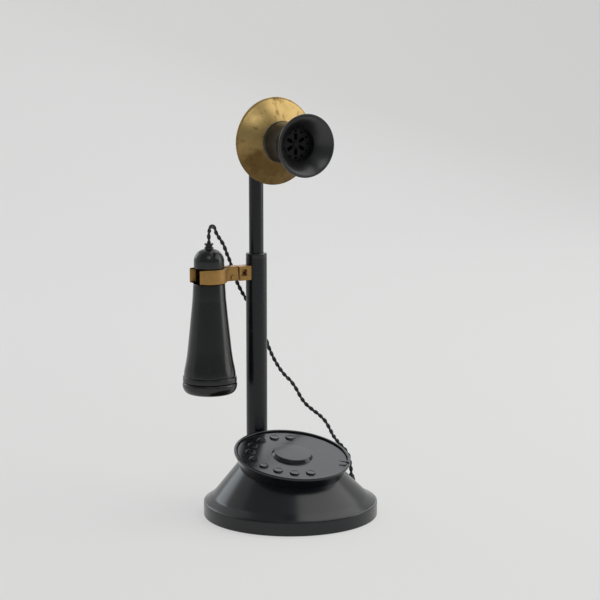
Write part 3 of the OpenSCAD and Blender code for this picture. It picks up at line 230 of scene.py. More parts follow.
class Skin:
    """Closed surfaces gathered into one mesh, each turned so that its faces point outwards."""

    def __init__(self):
        self.points, self.quads, self.others, self.count = [], [], [], 0

    def add(self, points, quads, others=()):
        """Points (n, 3) with faces as index arrays. The signed volume, the sum of the corner
        products of a fan over each face, tells whether the faces point outwards."""
        points = np.asarray(points, float)
        quads = np.asarray(quads, int).reshape(-1, 4)
        a, b, c, d = (points[quads[:, i]] for i in range(4))
        volume = (a * np.cross(b, c)).sum() + (a * np.cross(c, d)).sum()
        for face in others:
            f = points[np.asarray(face, int)]
            volume += (f[0] * np.cross(f[1:-1], f[2:])).sum()
        if volume < 0:
            quads = quads[:, ::-1]
            others = [list(face)[::-1] for face in others]
        self.quads.append(quads + self.count)
        self.others += [[i + self.count for i in face] for face in others]
        self.points.append(points)
        self.count += len(points)

    def add_grid(self, grid, poles=None, loop=True):
        """A grid (rows, columns, 3) whose columns close on themselves. With loop the rows close
        too; otherwise both ends are closed by a fan to a pole, or by one flat face."""
        m, n = grid.shape[:2]
        index = np.arange(m * n).reshape(m, n)
        across = np.roll(index, -1, 1)
        rows = slice(0, m if loop else m - 1)
        down, diagonal = np.roll(index, -1, 0), np.roll(across, -1, 0)
        quads = np.stack([index[rows], across[rows], diagonal[rows], down[rows]], 2).reshape(-1, 4)
        points, others = grid.reshape(-1, 3), []
        if poles is not None:
            points = np.vstack([points, poles])
            top, foot = m * n, m * n + 1
            others = np.vstack([
                np.stack([np.full(n, top), across[0], index[0]], 1),
                np.stack([np.full(n, foot), index[-1], across[-1]], 1)]).tolist()
        elif not loop:
            others = [index[0][::-1].tolist(), index[-1].tolist()]
        self.add(points, quads, others)

    def mesh(self, name, uv=None, sharp=None):
        """One smooth mesh in metres, with a map for a weave or sharp edges past an angle."""
        points = np.vstack(self.points) / 1000
        mesh = bpy.data.meshes.new(name)
        mesh.from_pydata(points.tolist(), [], np.vstack(self.quads).tolist() + self.others)
        if uv is not None:
            layer = mesh.uv_layers.new(name="Weave")
            layer.data.foreach_set("uv", np.asarray(uv, np.float32).ravel())
        mesh.polygons.foreach_set("use_smooth", np.ones(len(mesh.polygons), bool))
        if sharp is not None:
            mesh.set_sharp_from_angle(angle=math.radians(sharp))
        mesh.update()
        return mesh

    def object(self, name, look, node, stands=True, sharp=None):
        """The mesh as an object with the body of a CAD node, which it stands for."""
        return settle(bpy.data.objects.new(name, self.mesh(name, sharp=sharp)), look, node, stands)


def body_and_slot(node):
    """The CAD body and the material slot of a node."""
    record = frame["record"]
    body = next(b for b, nodes in record["behaviour"]["bodies"].items() if node in nodes)
    slot = next(s["material_slot"] for s in record["subparts"] if s["node"] == node)
    return body, slot


def settle(obj, look, node, stands=True):
    """Puts a finished piece into the scene, with its finish and the body of a node, and lets it
    stand for that node."""
    if obj.name not in bpy.context.scene.collection.objects:
        bpy.context.scene.collection.objects.link(obj)
    obj.data.materials.clear()
    obj.data.materials.append(finish(look))
    body, slot = body_and_slot(node)
    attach(obj, body)
    if stands:
        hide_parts(node)
    return obj


def spun(name, profile, place, look, node, sides=128, poles=False):
    """One turned piece that stands for a node, put in its place. With poles the profile starts
    and ends on the axis; otherwise it closes on itself."""
    grid, ends = turned(profile, sides, poles)
    skin = Skin()
    skin.add_grid(place(grid), place(ends) if poles else None, loop=not poles)
    return skin.object(name, look, node)


def slab(outline, low, high, edge, turn, steps=4):
    """A flat outline given a thickness, with its edges rounded by a quarter arc.

    The outline (n, 2) is offset inwards along its corner normals by e (1 - sin t) while the
    height stands e (1 - cos t) from the face, for t from 0 to a right angle; one more row
    inside each face keeps it flat. turn maps (first, second, height) to x, y and z.
    """
    p = np.asarray(outline, float)
    area = (p[:, 0] * np.roll(p[:, 1], -1) - np.roll(p[:, 0], -1) * p[:, 1]).sum()
    if area < 0:
        p = p[::-1]
    ahead, behind = np.roll(p, -1, 0) - p, p - np.roll(p, 1, 0)
    ahead /= np.linalg.norm(ahead, axis=1)[:, None]
    behind /= np.linalg.norm(behind, axis=1)[:, None]
    bend = ahead + behind
    bend /= np.linalg.norm(bend, axis=1)[:, None]
    inward = np.stack([-bend[:, 1], bend[:, 0]], 1)
    inward /= np.maximum((inward * np.stack([-ahead[:, 1], ahead[:, 0]], 1)).sum(1), 0.5)[:, None]
    t = np.linspace(0, math.pi / 2, steps + 1)
    inset = np.concatenate([[edge * 1.25], edge * (1 - np.sin(t))])
    height = np.concatenate([[0], edge * (1 - np.cos(t))])
    inset = np.concatenate([inset, inset[::-1]])
    height = np.concatenate([low + height, high - height[::-1]])
    flat = p[None] + inward[None] * inset[:, None, None]
    height = np.broadcast_to(height[:, None, None], (len(height), len(p), 1))
    return turn(np.concatenate([flat, height], 2))


def softened(name, node, look, width=None):
    """A merged copy of a CAD node with its edges beveled, which stands for the node."""
    source = NODES[node]
    mesh = source.data.copy()
    obj = bpy.data.objects.new(name, mesh)
    bpy.context.scene.collection.objects.link(obj)
    weld = obj.modifiers.new("Weld", "WELD")
    weld.merge_threshold = 1e-6
    bpy.context.view_layer.update()
    ready = obj.evaluated_get(bpy.context.evaluated_depsgraph_get())
    welded = bpy.data.meshes.new_from_object(ready)
    obj.modifiers.clear()
    obj.data = welded
    bpy.data.meshes.remove(mesh)
    if "custom_normal" in welded.attributes:
        welded.attributes.remove(welded.attributes["custom_normal"])
    welded.polygons.foreach_set("use_smooth", np.ones(len(welded.polygons), bool))
    welded.set_sharp_from_angle(angle=math.radians(28))
    planar = obj.modifiers.new("Flat faces", "DECIMATE")
    planar.decimate_type = "DISSOLVE"
    planar.angle_limit = math.radians(0.5)
    planar.delimit = {"SHARP"}
    bevel = obj.modifiers.new("Soft edge", "BEVEL")
    bevel.width = sizes().soft_edge if width is None else width / 1000
    bevel.segments = 2
    bevel.limit_method = "ANGLE"
    bevel.angle_limit = math.radians(30)
    bevel.harden_normals = True
    return settle(obj, look, node)


# ---------------------------------------------------------------- places

def on_dial(p):
    """From the dial's own axes to the frame: its third axis leans towards the user by the tilt."""
    s, c = math.sin(TILT), math.cos(TILT)
    x, y, w = p[..., 0], p[..., 1], p[..., 2]
    return np.stack([x, -3 + y * c - w * s, mm("dial_height") + y * s + w * c], -1)


def on_transmitter(p):
    """The third axis points forwards from the pivot, to -Y."""
    x, y, z = p[..., 0], p[..., 1], p[..., 2]
    return np.stack([x, mm("stem_back") - z, mm("pivot_height") + y], -1)


def on_receiver(p):
    return p + np.array([-40.4, mm("stem_back"), 0])


def on_stem(p):
    return p + np.array([0, mm("stem_back"), 0])


# ---------------------------------------------------------------- shader maths

class Value:
    """A shader socket that Python arithmetic works on. Each operator adds its Math node."""

    def __init__(self, finish, socket):
        self.finish, self.socket = finish, socket

    def __add__(self, other):
        return self.finish.maths("ADD", self, other)

    def __radd__(self, other):
        return self.finish.maths("ADD", other, self)

    def __sub__(self, other):
        return self.finish.maths("SUBTRACT", self, other)

    def __rsub__(self, other):
        return self.finish.maths("SUBTRACT", other, self)

    def __mul__(self, other):
        return self.finish.maths("MULTIPLY", self, other)

    def __rmul__(self, other):
        return self.finish.maths("MULTIPLY", other, self)

    def __pow__(self, other):
        return self.finish.maths("POWER", self, other)

    def __abs__(self):
        return self.finish.maths("ABSOLUTE", self)


class Finish:
    """A material under construction, with one way to add any node."""

    def __init__(self, name):
        self.material = bpy.data.materials.new(name)
        self.material.use_nodes = True
        self.tree = self.material.node_tree
        self.tree.nodes.clear()
        self.shader = self.tree.nodes.new("ShaderNodeBsdfPrincipled")
        self.output = self.tree.nodes.new("ShaderNodeOutputMaterial")
        self.tree.links.new(self.shader.outputs[0], self.output.inputs[0])
        self.place = self.add("ShaderNodeTexCoord", {}, {}, "Object")

    def add(self, kind, settings, sockets, output=0):
        """A node with its settings, then the values or links of its sockets, and its output."""
        node = self.tree.nodes.new(kind)
        for key, value in settings.items():
            if key == "stops":
                ramp = node.color_ramp.elements
                while len(ramp) < len(value):
                    ramp.new(0.5)
                for element, (at, tone) in zip(ramp, value):
                    element.position, element.color = at, (*tone, 1)
            else:
                setattr(node, key, value)
        self.link(node, sockets)
        return Value(self, node.outputs[output])

    def maths(self, operation, *terms):
        """A Math node on numbers or values."""
        return self.add("ShaderNodeMath", {"operation": operation}, dict(enumerate(terms)))

    def link(self, node, sockets):
        """Values are linked to the node's sockets; numbers and colours are set on them."""
        for key, value in sockets.items():
            if isinstance(value, Value):
                self.tree.links.new(value.socket, node.inputs[key])
            elif hasattr(value, "__len__") and len(value) == 3 and node.inputs[key].type == "RGBA":
                node.inputs[key].default_value = (*value, 1)
            else:
                node.inputs[key].default_value = value

    def set(self, **sockets):
        """Sockets of the surface shader, by name with underscores for spaces."""
        self.link(self.shader, {key.replace("_", " "): value for key, value in sockets.items()})
        return self

    def noise(self, scale, detail=4.0, rough=0.55, stretch=None, at=None):
        """Noise over the piece's own place; scale is in features per metre."""
        where = self.place if at is None else at
        if stretch is not None:
            where = self.add("ShaderNodeMapping", {}, {"Vector": where, "Scale": stretch})
        return self.add("ShaderNodeTexNoise", {}, {
            "Vector": where, "Scale": scale, "Detail": detail, "Roughness": rough})

    def rise(self, value, low, high):
        """0 below low, 1 above high and smooth between."""
        return self.add("ShaderNodeMapRange", {"interpolation_type": "SMOOTHSTEP"},
                        {"Value": value, "From Min": low, "From Max": high})

    def blend(self, share, first, second):
        """Two colours mixed by a share."""
        return self.add("ShaderNodeMix", {"data_type": "RGBA"}, {0: share, 6: first, 7: second}, 2)

    def bump(self, height, distance, strength=1.0):
        """Relief of a height given in distances of metres."""
        return self.add("ShaderNodeBump", {}, {"Height": height, "Distance": distance,
                                               "Strength": strength})

    def split(self, vector):
        """The three coordinates of a vector."""
        node = self.add("ShaderNodeSeparateXYZ", {}, {0: vector}).socket.node
        return [Value(self, socket) for socket in node.outputs]

    def glow(self, tone, share):
        """Mixes in an even light of a colour where the camera or a mirror looks at the piece, so
        that a backdrop stays evenly pale and keeps its shadows."""
        camera, glossy, through = (self.add("ShaderNodeLightPath", {}, {}, f"Is {kind} Ray")
                                   for kind in ("Camera", "Glossy", "Transmission"))
        seen = self.maths("MAXIMUM", self.maths("MAXIMUM", camera, glossy), through)
        light = self.add("ShaderNodeEmission", {}, {"Color": tone, "Strength": 1.0})
        mix = self.add("ShaderNodeMixShader", {}, {
            0: seen * share, 1: Value(self, self.shader.outputs[0]), 2: light})
        self.tree.links.new(mix.socket, self.output.inputs[0])

    def scratches(self, scale, stretch, width=0.004):
        """Hairlines: the thin band where stretched noise passes its middle, broken by patches."""
        field = self.noise(scale, 1.0, 0.4, stretch)
        line = 1 - self.rise(abs(field - 0.5), 0.0, width)
        return line * self.rise(self.noise(scale * 0.7, 2.0), 0.48, 0.62)


LATHE_RINGS = 14000    # radians per metre outwards, so 0.45 mm from ring to ring
WIRE_TURNS = 12000     # radians per metre along the coil
THREAD_SLANT = 9.0     # radians per millimetre along the cord
THREADS = 6            # threads round the cord, each way


def black_finish(name, base, rough, sheen=0.5, dust=0.12, grain=420):
    """Black enamel or moulding: faint orange peel, cloudy gloss, dust and hairline scratches."""
    f = Finish(name)
    cloud = f.noise(30, 5, 0.55)
    peel = f.noise(grain, 2, 0.45)
    settled = f.rise(f.noise(170, 9, 0.72), 0.55, 0.80) * dust
    hair = f.scratches(90, (1.0, 0.25, 3.0)) * 0.5 + f.scratches(140, (2.5, 1.0, 0.3)) * 0.4
    tone = f.blend(cloud, tuple(c * 0.7 for c in base), tuple(c * 1.4 for c in base))
    tone = f.blend(settled, tone, tuple(colours().dust))
    tone = f.blend(hair * 0.10, tone, (0.20, 0.20, 0.20))
    height = peel * 0.6 + hair * -0.5 + settled * 0.4
    f.set(Base_Color=tone, Roughness=rough + (cloud - 0.5) * 0.12 + settled * 0.6 + hair * 0.10,
          Normal=f.bump(height, 0.00001, 0.35), IOR=1.5, Specular_IOR_Level=sheen)
    return f.material


def brass_finish(name, bright, spots, rings=None, rough=0.30, metal=1.0):
    """Worn brass: polish and tarnish in clouds, dark specks and hairlines. On the spun pieces,
    which turn about an axis at the height given, also the fine rings of the lathe, a sine of
    the distance from that axis, radial smears and a darkening towards the bottom that is
    partly patina and partly painted shade."""
    f = Finish(name)
    dull = tuple(colours().tarnish)
    cloud = f.noise(60, 7, 0.66)
    broad = f.noise(22, 4, 0.55)
    tarnish = f.rise(cloud * 0.5 + broad * 0.5, 0.46, 0.64)
    speck = f.rise(f.noise(240, 6, 0.72), 0.62, 0.72) * spots
    hair = f.scratches(120, (1.0, 2.2, 0.4)) * 0.6 + f.scratches(70, (0.3, 1.0, 2.4)) * 0.6
    height = f.noise(900, 3) * 0.4 + speck * -0.6 + hair * -0.6
    patina_and_painted_shade = f.rise(broad, 0.54, 0.72) * 0.5
    if rings is not None:
        x, y, z = f.split(f.place)
        away = (x ** 2 + (z - rings) ** 2) ** 0.5
        lathe = f.maths("SINE", away * LATHE_RINGS)
        height = height + lathe * f.noise(700, 2, 0.5) * 0.4
        round_it = f.maths("ARCTAN2", x, z - rings)
        where = f.add("ShaderNodeCombineXYZ", {}, {0: round_it * 0.03, 1: away * 0.5, 2: y * 0.5})
        smear = f.rise(f.noise(150, 5, 0.6, None, where), 0.54, 0.68)
        # Painted shade: the brass darkens below the pivot's height, partly as patina and partly as
        # the shade of the lower half.
        low = f.rise((rings - z) + (broad - 0.5) * 0.05, -0.020, 0.024)
        patina_and_painted_shade = patina_and_painted_shade + smear * 0.6 + low * 0.85
    patina_and_painted_shade = f.maths("MINIMUM", patina_and_painted_shade, 0.92)
    half = tuple(0.5 * b + 0.5 * d for b, d in zip(bright, dull))
    tone = f.blend(tarnish * 0.6, tuple(bright), half)
    # The tone goes towards the tarnish colour with the patina, the smears and the painted shade of
    # the lower half.
    tone = f.blend(patina_and_painted_shade, tone, dull)
    tone = f.blend(speck * 0.8, tone, tuple(0.3 * d for d in dull))
    tone = f.blend(hair * 0.25, tone, tuple(min(1.0, b * 1.15) for b in bright))
    f.set(Base_Color=tone, Metallic=metal - speck * 0.35,
          Roughness=rough + (cloud - 0.5) * 0.22 + tarnish * 0.10 + patina_and_painted_shade * 0.12 + speck * 0.25,
          Normal=f.bump(height, 0.00003, 0.5))
    return f.material


def metal_finish(name, tone, rough, stretch=(1, 1, 1)):
    """Drawn or milled metal: fine stretched grain in gloss and relief, and clouds in colour and
    gloss.
    """
    f = Finish(name)
    grain = f.noise(1500, 3, 0.6, stretch)
    cloud = f.noise(90, 4)
    f.set(Base_Color=f.blend(cloud * 0.6, tuple(tone), tuple(c * 0.55 for c in tone)), Metallic=1.0,
          Roughness=rough + (grain - 0.5) * 0.2 + (cloud - 0.5) * 0.15,
          Normal=f.bump(grain, 0.00002, 0.5))
    return f.material


def dull_finish(name, tone, rough, grain, relief=0.00005, fibres=None):
    """Board, rubber or felt: mottled colour and a matt, grainy surface."""
    f = Finish(name)
    fine = f.noise(grain, 5, 0.65, fibres)
    cloud = f.noise(grain / 12, 3)
    mottled = f.blend(fine, tuple(c * 0.6 for c in tone), tuple(min(1, c * 1.5) for c in tone))
    f.set(Base_Color=f.blend(cloud * 0.3, mottled, tuple(c * 0.45 for c in tone)),
          Roughness=rough + (fine - 0.5) * 0.1, Normal=f.bump(fine, relief, 0.8))
    return f.material


def copper_finish():
    """Coil windings: turns of wire as a rounded sine along the coil, in browned copper, with
    painted shade darkening the grooves between the turns.
    """
    f = Finish("Wound copper")
    wire = abs(f.maths("SINE", f.split(f.place)[2] * WIRE_TURNS))
    # Painted shade: the copper is darker in the grooves between the turns.
    tone = f.blend(wire, tuple(c * 0.35 for c in colours().copper), tuple(colours().copper))
    f.set(Base_Color=tone, Metallic=0.7, Roughness=0.42, Normal=f.bump(wire, 0.0002, 0.7))
    return f.material


def cotton_finish():
    """Braided cotton on the piece's own map, where u is millimetres along the cord and v goes
    once round: two families of slanting threads, sine(u + v) and sine(u - v), the higher one
    on top, with lint between. The colour follows the threads: darker between them as painted
    shade and lighter on their tops as a painted highlight."""
    f = Finish("Braided cotton")
    u, v, _ = f.split(f.add("ShaderNodeUVMap", {"uv_map": "Weave"}, {}))
    along, across = u * THREAD_SLANT, v * (2 * math.pi * THREADS)
    one, two = f.maths("SINE", along + across), f.maths("SINE", along - across)
    over = f.maths("MAXIMUM", one, two)
    thread = f.rise(over, -0.2, 1.0)
    lint = f.noise(2600, 4, 0.7)
    worn = f.rise(f.noise(160, 3), 0.5, 0.75)
    cotton = tuple(colours().cotton)
    # Painted shade between the threads and a painted highlight on their tops.
    tone = f.blend(thread, tuple(c * 0.3 for c in cotton), tuple(c * 2.4 for c in cotton))
    tone = f.blend(worn * thread * 0.35, tone, (0.075, 0.072, 0.07))
    f.set(Base_Color=tone, Roughness=0.72 + lint * 0.15, Sheen_Weight=0.25, Sheen_Roughness=0.5,
          Normal=f.bump(thread + lint * 0.3, 0.00012, 0.8))
    return f.material


FINISHES = {}


def finish(name):
    """Each finish is made once, from the colour settings."""
    if name not in FINISHES:
        c = colours()
        makers = {
            "enamel": lambda: black_finish("Black enamel", c.enamel, 0.20),
            "stem": lambda: black_finish("Stem enamel", c.enamel, 0.26, 0.38, 0.16, 700),
            "ebonite": lambda: black_finish("Black ebonite", c.ebonite, 0.20, 0.5, 0.10, 700),
            "mouth": lambda: black_finish("Mouthpiece ebonite", c.ebonite, 0.30, 0.7, 0.10, 700),
            "grille": lambda: black_finish("Dull ebonite", c.ebonite, 0.48, 0.25, 0.06, 900),
            "brass": lambda: brass_finish("Spun brass", c.brass, 0.8, mm("pivot_height") / 1000),
            "hook_brass": lambda: brass_finish("Hook brass", c.hook_brass, 0.8, None, 0.36, 0.5),
            "inner_brass": lambda: brass_finish("Inner brass", c.brass, 0.4, None, 0.28),
            "steel": lambda: metal_finish("Bright steel", c.steel, 0.30, (1, 1, 6)),
            "magnet": lambda: metal_finish("Magnet steel", (0.16, 0.16, 0.17), 0.5),
            "fibre": lambda: dull_finish("Fibre board", c.fibre, 0.62, 900),
            "rubber": lambda: dull_finish("Black rubber", (0.018,) * 3, 0.6, 1300, 0.00002),
            "felt": lambda: dull_finish("Felt", c.felt, 0.95, 1600, 0.0003, (1, 1, 3)),
            "copper": copper_finish,
            "cotton": cotton_finish,
        }
        FINISHES[name] = makers[name]()
    return FINISHES[name]


# ---------------------------------------------------------------- operators

UPPER_ROUTE = [
    (-40.4, 52, 201.3), (-40.4, 52, 204), (-40.4, 52, 207.5), (-39, 53.1, 211.5),
    (-35.7, 55.8, 213.5), (-32.4, 58.4, 211.5), (-30.2, 59.4, 207), (-27, 60, 202.5),
    (-23.5, 60.5, 197.5), (-20.5, 61, 190.5), (-18.4, 61.5, 186.5), (-16.4, 62, 181.5)]
LOWER_ROUTE = [
    (-16.4, 62, 181.5), (-13.8, 62.65, 175), (-11, 62.8, 168), (-7, 63, 160.5), (-3, 63, 154),
    (1.5, 63, 145.5), (5.6, 63, 137), (10, 63, 129.5), (14, 63, 122), (16, 62.5, 116),
    (18.6, 62, 109.5), (22, 61, 102.5), (26, 60, 96), (29.5, 59, 91.5), (33.5, 57.5, 87),
    (37, 55.5, 81), (39.7, 53, 74.5), (42.5, 50, 69.5), (46, 46, 65.5), (49, 40.5, 62),
    (51, 35, 58), (52.2, 30.5, 53), (53, 26, 48), (54.2, 20.5, 43.8), (55.8, 14.5, 40),
    (56.6, 9.5, 35.5), (56, 6, 30.5), (55.2, 3.6, 27), (55, 3, 24.5), (55, 3, 22)]


class TELEPHONE_OT_camera(bpy.types.Operator):
    """Camera at the height and distance from which the telephone is seen"""
    bl_idname = "telephone.camera"
    bl_label = "Camera"

    def execute(self, context):
        data = bpy.data.cameras.new("Camera")
        data.lens, data.sensor_width = 123.0, 36.0
        data.clip_start, data.clip_end = 0.05, 100
        camera = bpy.data.objects.new("Camera", data)
        camera.location = (-0.73960, -1.29737, 0.41189)
        turn, drop = math.radians(-29.96), math.radians(9.488)
        back = Vector((math.sin(turn) * math.cos(drop), -math.cos(turn) * math.cos(drop),
                       math.sin(drop)))
        camera.rotation_mode = "QUATERNION"
        camera.rotation_quaternion = (-back).to_track_quat("-Z", "Y")
        context.scene.collection.objects.link(camera)
        context.scene.camera = camera
        return {"FINISHED"}


def twisted_cord(name, route, start_turn):
    """Two twisted strands as one skin along a smooth path.

    The path is resampled at even steps. At each step the side vector is the cross product of
    the tangent with one fixed direction, made a unit again. The outline is that of two circles
    side by side, the further of the two surfaces in each direction, and turns once every pitch.
    """
    path = smooth_through(route, 24)
    walked = np.concatenate([[0], np.cumsum(np.linalg.norm(np.diff(path, axis=0), axis=1))])
    total = walked[-1]
    count = int(total / 0.4) + 1
    s = np.linspace(0, total, count)
    path = np.stack([np.interp(s, walked, path[:, i]) for i in range(3)], 1)
    tangent = np.gradient(path, axis=0)
    tangent /= np.linalg.norm(tangent, axis=1)[:, None]
    side = np.cross(tangent, (0.3, 0.8, 0.52))
    side /= np.linalg.norm(side, axis=1)[:, None]
    other = np.cross(tangent, side)
    n = 28
    a = np.linspace(0, 2 * math.pi, n, endpoint=False)
    strand = mm("cord_diameter") * 0.272
    apart = mm("cord_diameter") / 2 - strand
    beside = np.maximum(strand ** 2 - (apart * np.sin(a)) ** 2, 0.01)
    reach = apart * np.abs(np.cos(a)) + np.sqrt(beside)
    turn = (s + start_turn) * 2 * math.pi / mm("cord_pitch")
    around = a[None] + turn[:, None]
    ring = reach[None, :, None] * (np.cos(around)[..., None] * side[:, None]
                                   + np.sin(around)[..., None] * other[:, None])
    skin = Skin()
    grid = path[:, None] + ring
    skin.add_grid(grid, loop=False)
    flipped = skin.quads[0][0][0] != 0
    u = np.broadcast_to(s[:, None], (count, n + 1))
    v = np.broadcast_to(np.linspace(0, 1, n + 1)[None], (count, n + 1))
    uv = np.stack([u, v], 2)
    corners = np.stack([uv[:-1, :-1], uv[:-1, 1:], uv[1:, 1:], uv[1:, :-1]], 2).reshape(-1, 4, 2)
    if flipped:
        corners = corners[:, ::-1]
    caps = np.zeros((2 * n, 2))
    corners = np.concatenate([corners.reshape(-1, 2), caps])
    obj = bpy.data.objects.new(name, skin.mesh(name, uv=corners))
    bpy.context.scene.collection.objects.link(obj)
    obj.data.materials.append(finish("cotton"))
    return obj, path / 1000, total / 1000


class TELEPHONE_OT_cord(bpy.types.Operator):
    """Twisted cotton cord from the receiver down behind the stem into the base"""
    bl_idname = "telephone.cord"
    bl_label = "Receiver cord"

    def execute(self, context):
        upper, path, long = twisted_cord("cord_upper", UPPER_ROUTE, 0.0)
        lower, low_path, low_long = twisted_cord("cord_lower", LOWER_ROUTE, long * 1000)
        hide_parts("receiver_cord_upper")
        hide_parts("receiver_cord_lower")
        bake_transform(upper)
        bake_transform(lower)
        return {"FINISHED"}


class TELEPHONE_OT_base(bpy.types.Operator):
    """Enamelled base: straight rim with a bead, a shoulder and a cone that leans to the dial"""
    bl_idname = "telephone.base"
    bl_label = "Base"

    def execute(self, context):
        big, rim, wall = mm("base_radius"), mm("rim_height"), 2.4
        shoulder, top_z, foot = big - 7, rim + 3.7, 38.8
        foot_y, foot_z = -3 + 11.6 * math.sin(TILT), mm("dial_height") - 11.6 * math.cos(TILT)
        path = [
            (big - wall, 0.3), (big, 0.3), (big, rim - 1.0), (big - 0.2, rim),
            (big - 1.15, rim - 0.1), (big - 1.5, rim + 0.3), (shoulder, top_z), (foot, foot_z),
            (foot - wall, foot_z), (shoulder - 1.2, top_z - 2.4), (big - wall, rim - 2)]
        radii = [0.1, 0.5, 0.9, 0.45, 0.35, 0.4, 5.0, 0.2, 0.2, 1, 1]
        rings = braced(rounded(path, radii, 8), 0.5)
        # Each ring leans about the x axis by the tilt times its share of the way up the cone,
        # a little more on the shoulder behind and a little less under the dial in front.
        r, z = rings[:, 0], rings[:, 1]
        share = np.clip((shoulder - r) / (shoulder - foot), 0, 1)
        outer = np.clip((big - 1.2 - r) / (big - 1.2 - shoulder), 0, 1)
        y = foot_y * share
        a = np.linspace(0, 2 * math.pi, 192, endpoint=False)
        swell = (TILT / 5 * (1 - share) * outer)[:, None] * np.clip(np.sin(a), 0, 1)[None]
        dip = math.radians(4.5) * share[:, None] * np.clip(-np.sin(a), 0, 1)[None]
        lean = (TILT * share[:, None] + swell - dip) * (z > rim)[:, None]
        sine = r[:, None] * np.sin(a)[None]
        grid = np.stack([
            r[:, None] * np.cos(a)[None],
            y[:, None] + sine * np.cos(lean),
            z[:, None] + sine * np.sin(lean)], 2)
        skin = Skin()
        skin.add_grid(grid)
        skin.object("base_enamel", "enamel", "base_shell")
        return {"FINISHED"}


class TELEPHONE_OT_dial(bpy.types.Operator):
    """Dial: cup with its lip, finger wheel, ten dished finger cups and the raised hub"""
    bl_idname = "telephone.dial"
    bl_label = "Dial"

    def execute(self, context):
        big = mm("dial_radius")
        lip = big - 2.1
        cup = braced(rounded(
            [(36.4, -11.6), (38.8, -11.6), (big - 0.7, -2.6), (big, -1.9), (big, 0), (lip, 0),
             (lip, -4.0), (lip - 3, -4.0), (lip - 3, -5.4)],
            [0.1, 0.2, 0.9, 0.9, 0.6, 0.55, 0.05, 0.1, 0.1], 6), 0.3)
        spun("dial_cup_enamel", cup, on_dial, "enamel", "dial_cup", 160)
        edge = lip - 0.4
        wheel = rounded([(1, -2.8), (edge, -2.8), (edge, -1.2), (1, -1.2)],
                        [0, 0.2, 0.45, 0], 6, False)
        wheel = np.vstack([[(0, -2.8)], braced(wheel, 0.3, False), [(0, -1.2)]])
        spun("finger_wheel_enamel", wheel, on_dial, "enamel", "finger_wheel", 160, True)
        skin = Skin()
        outline = np.vstack([
            [(0, -1.7)],
            braced(rounded([(3.8, -1.7), (3.9, -1.22), (3.55, -1.08), (3.4, -0.1), (2.8, -0.12)],
                           [0.05, 0.05, 0.5, 0.35, 0.1], 6, False), 0.2, False)])
        t = np.linspace(0.08, 1, 12)[:, None]
        dish = np.hstack([2.75 * np.cos(t * math.pi / 2), -0.14 - 0.16 * np.sin(t * math.pi / 2)])
        dish[-1] = (0, -0.3)
        outline = np.vstack([outline, dish])
        grid, ends = turned(outline, 56, True)
        for k in range(10):
            angle = math.radians(FIRST_CUP + CUP_PITCH * k)
            middle = mm("finger_ring") * np.array([math.cos(angle), math.sin(angle), 0])
            skin.add_grid(on_dial(grid + middle), on_dial(ends + middle), loop=False)
        skin.object("finger_cups", "enamel", "finger_wheel", stands=False)
        r = mm("hub_radius")
        hub = np.vstack([[(0, -1.3)], braced(rounded(
            [(1, -1.3), (r, -1.3), (r - 1.6, 1.12), (r * 0.5, 1.22), (1, 1.24)],
            [0, 0.05, 0.6, 4, 0], 8, False), 0.3, False), [(0, 1.24)]])
        spun("hub_enamel", hub, on_dial, "enamel", "hub_cap", 128, True)
        stop = rounded([(big - 0.4, -0.3), (lip + 0.2, -0.3), (lip - 0.3, 0.32), (lip - 6, 0.32),
                        (lip - 6, 0.8), (big - 1.2, 0.9)], [0.1, 0.1, 0.2, 0.15, 0.2, 0.6], 4)
        cos, sin = math.cos(STOP_ANGLE), math.sin(STOP_ANGLE)
        skin = Skin()
        grid = slab(stop, -0.65, 0.65, 0.12, lambda g: np.stack([
            g[..., 0] * cos - g[..., 2] * sin, g[..., 0] * sin + g[..., 2] * cos, g[..., 1]], -1))
        skin.add_grid(on_dial(grid), loop=False)
        skin.object("finger_stop_blade", "enamel", "finger_stop", sharp=50)
        return {"FINISHED"}


class TELEPHONE_OT_stem(bpy.types.Operator):
    """Two-stage stem with its rounded nut, socket and head"""
    bl_idname = "telephone.stem"
    bl_label = "Stem"

    def execute(self, context):
        nut = braced(rounded(
            [(5.52, 184.3), (6.68, 184.3), (6.68, 187.3), (8, 187.3), (8, 191.3), (5.52, 191.3)],
            [0.1, 0.1, 0.1, 0.15, 1.2, 0.3], 8), 0.3)
        spun("nut_enamel", nut, on_stem, "enamel", "tube_nut")
        softened("head_enamel", "head_clevis", "stem", 0.35)
        softened("foot_enamel", "stem_foot", "stem", 0.3)
        softened("thumb_nut", "tilt_nut", "hook_brass", 0.15)
        softened("pivot_screw", "tilt_screw", "hook_brass", 0.15)
        return {"FINISHED"}


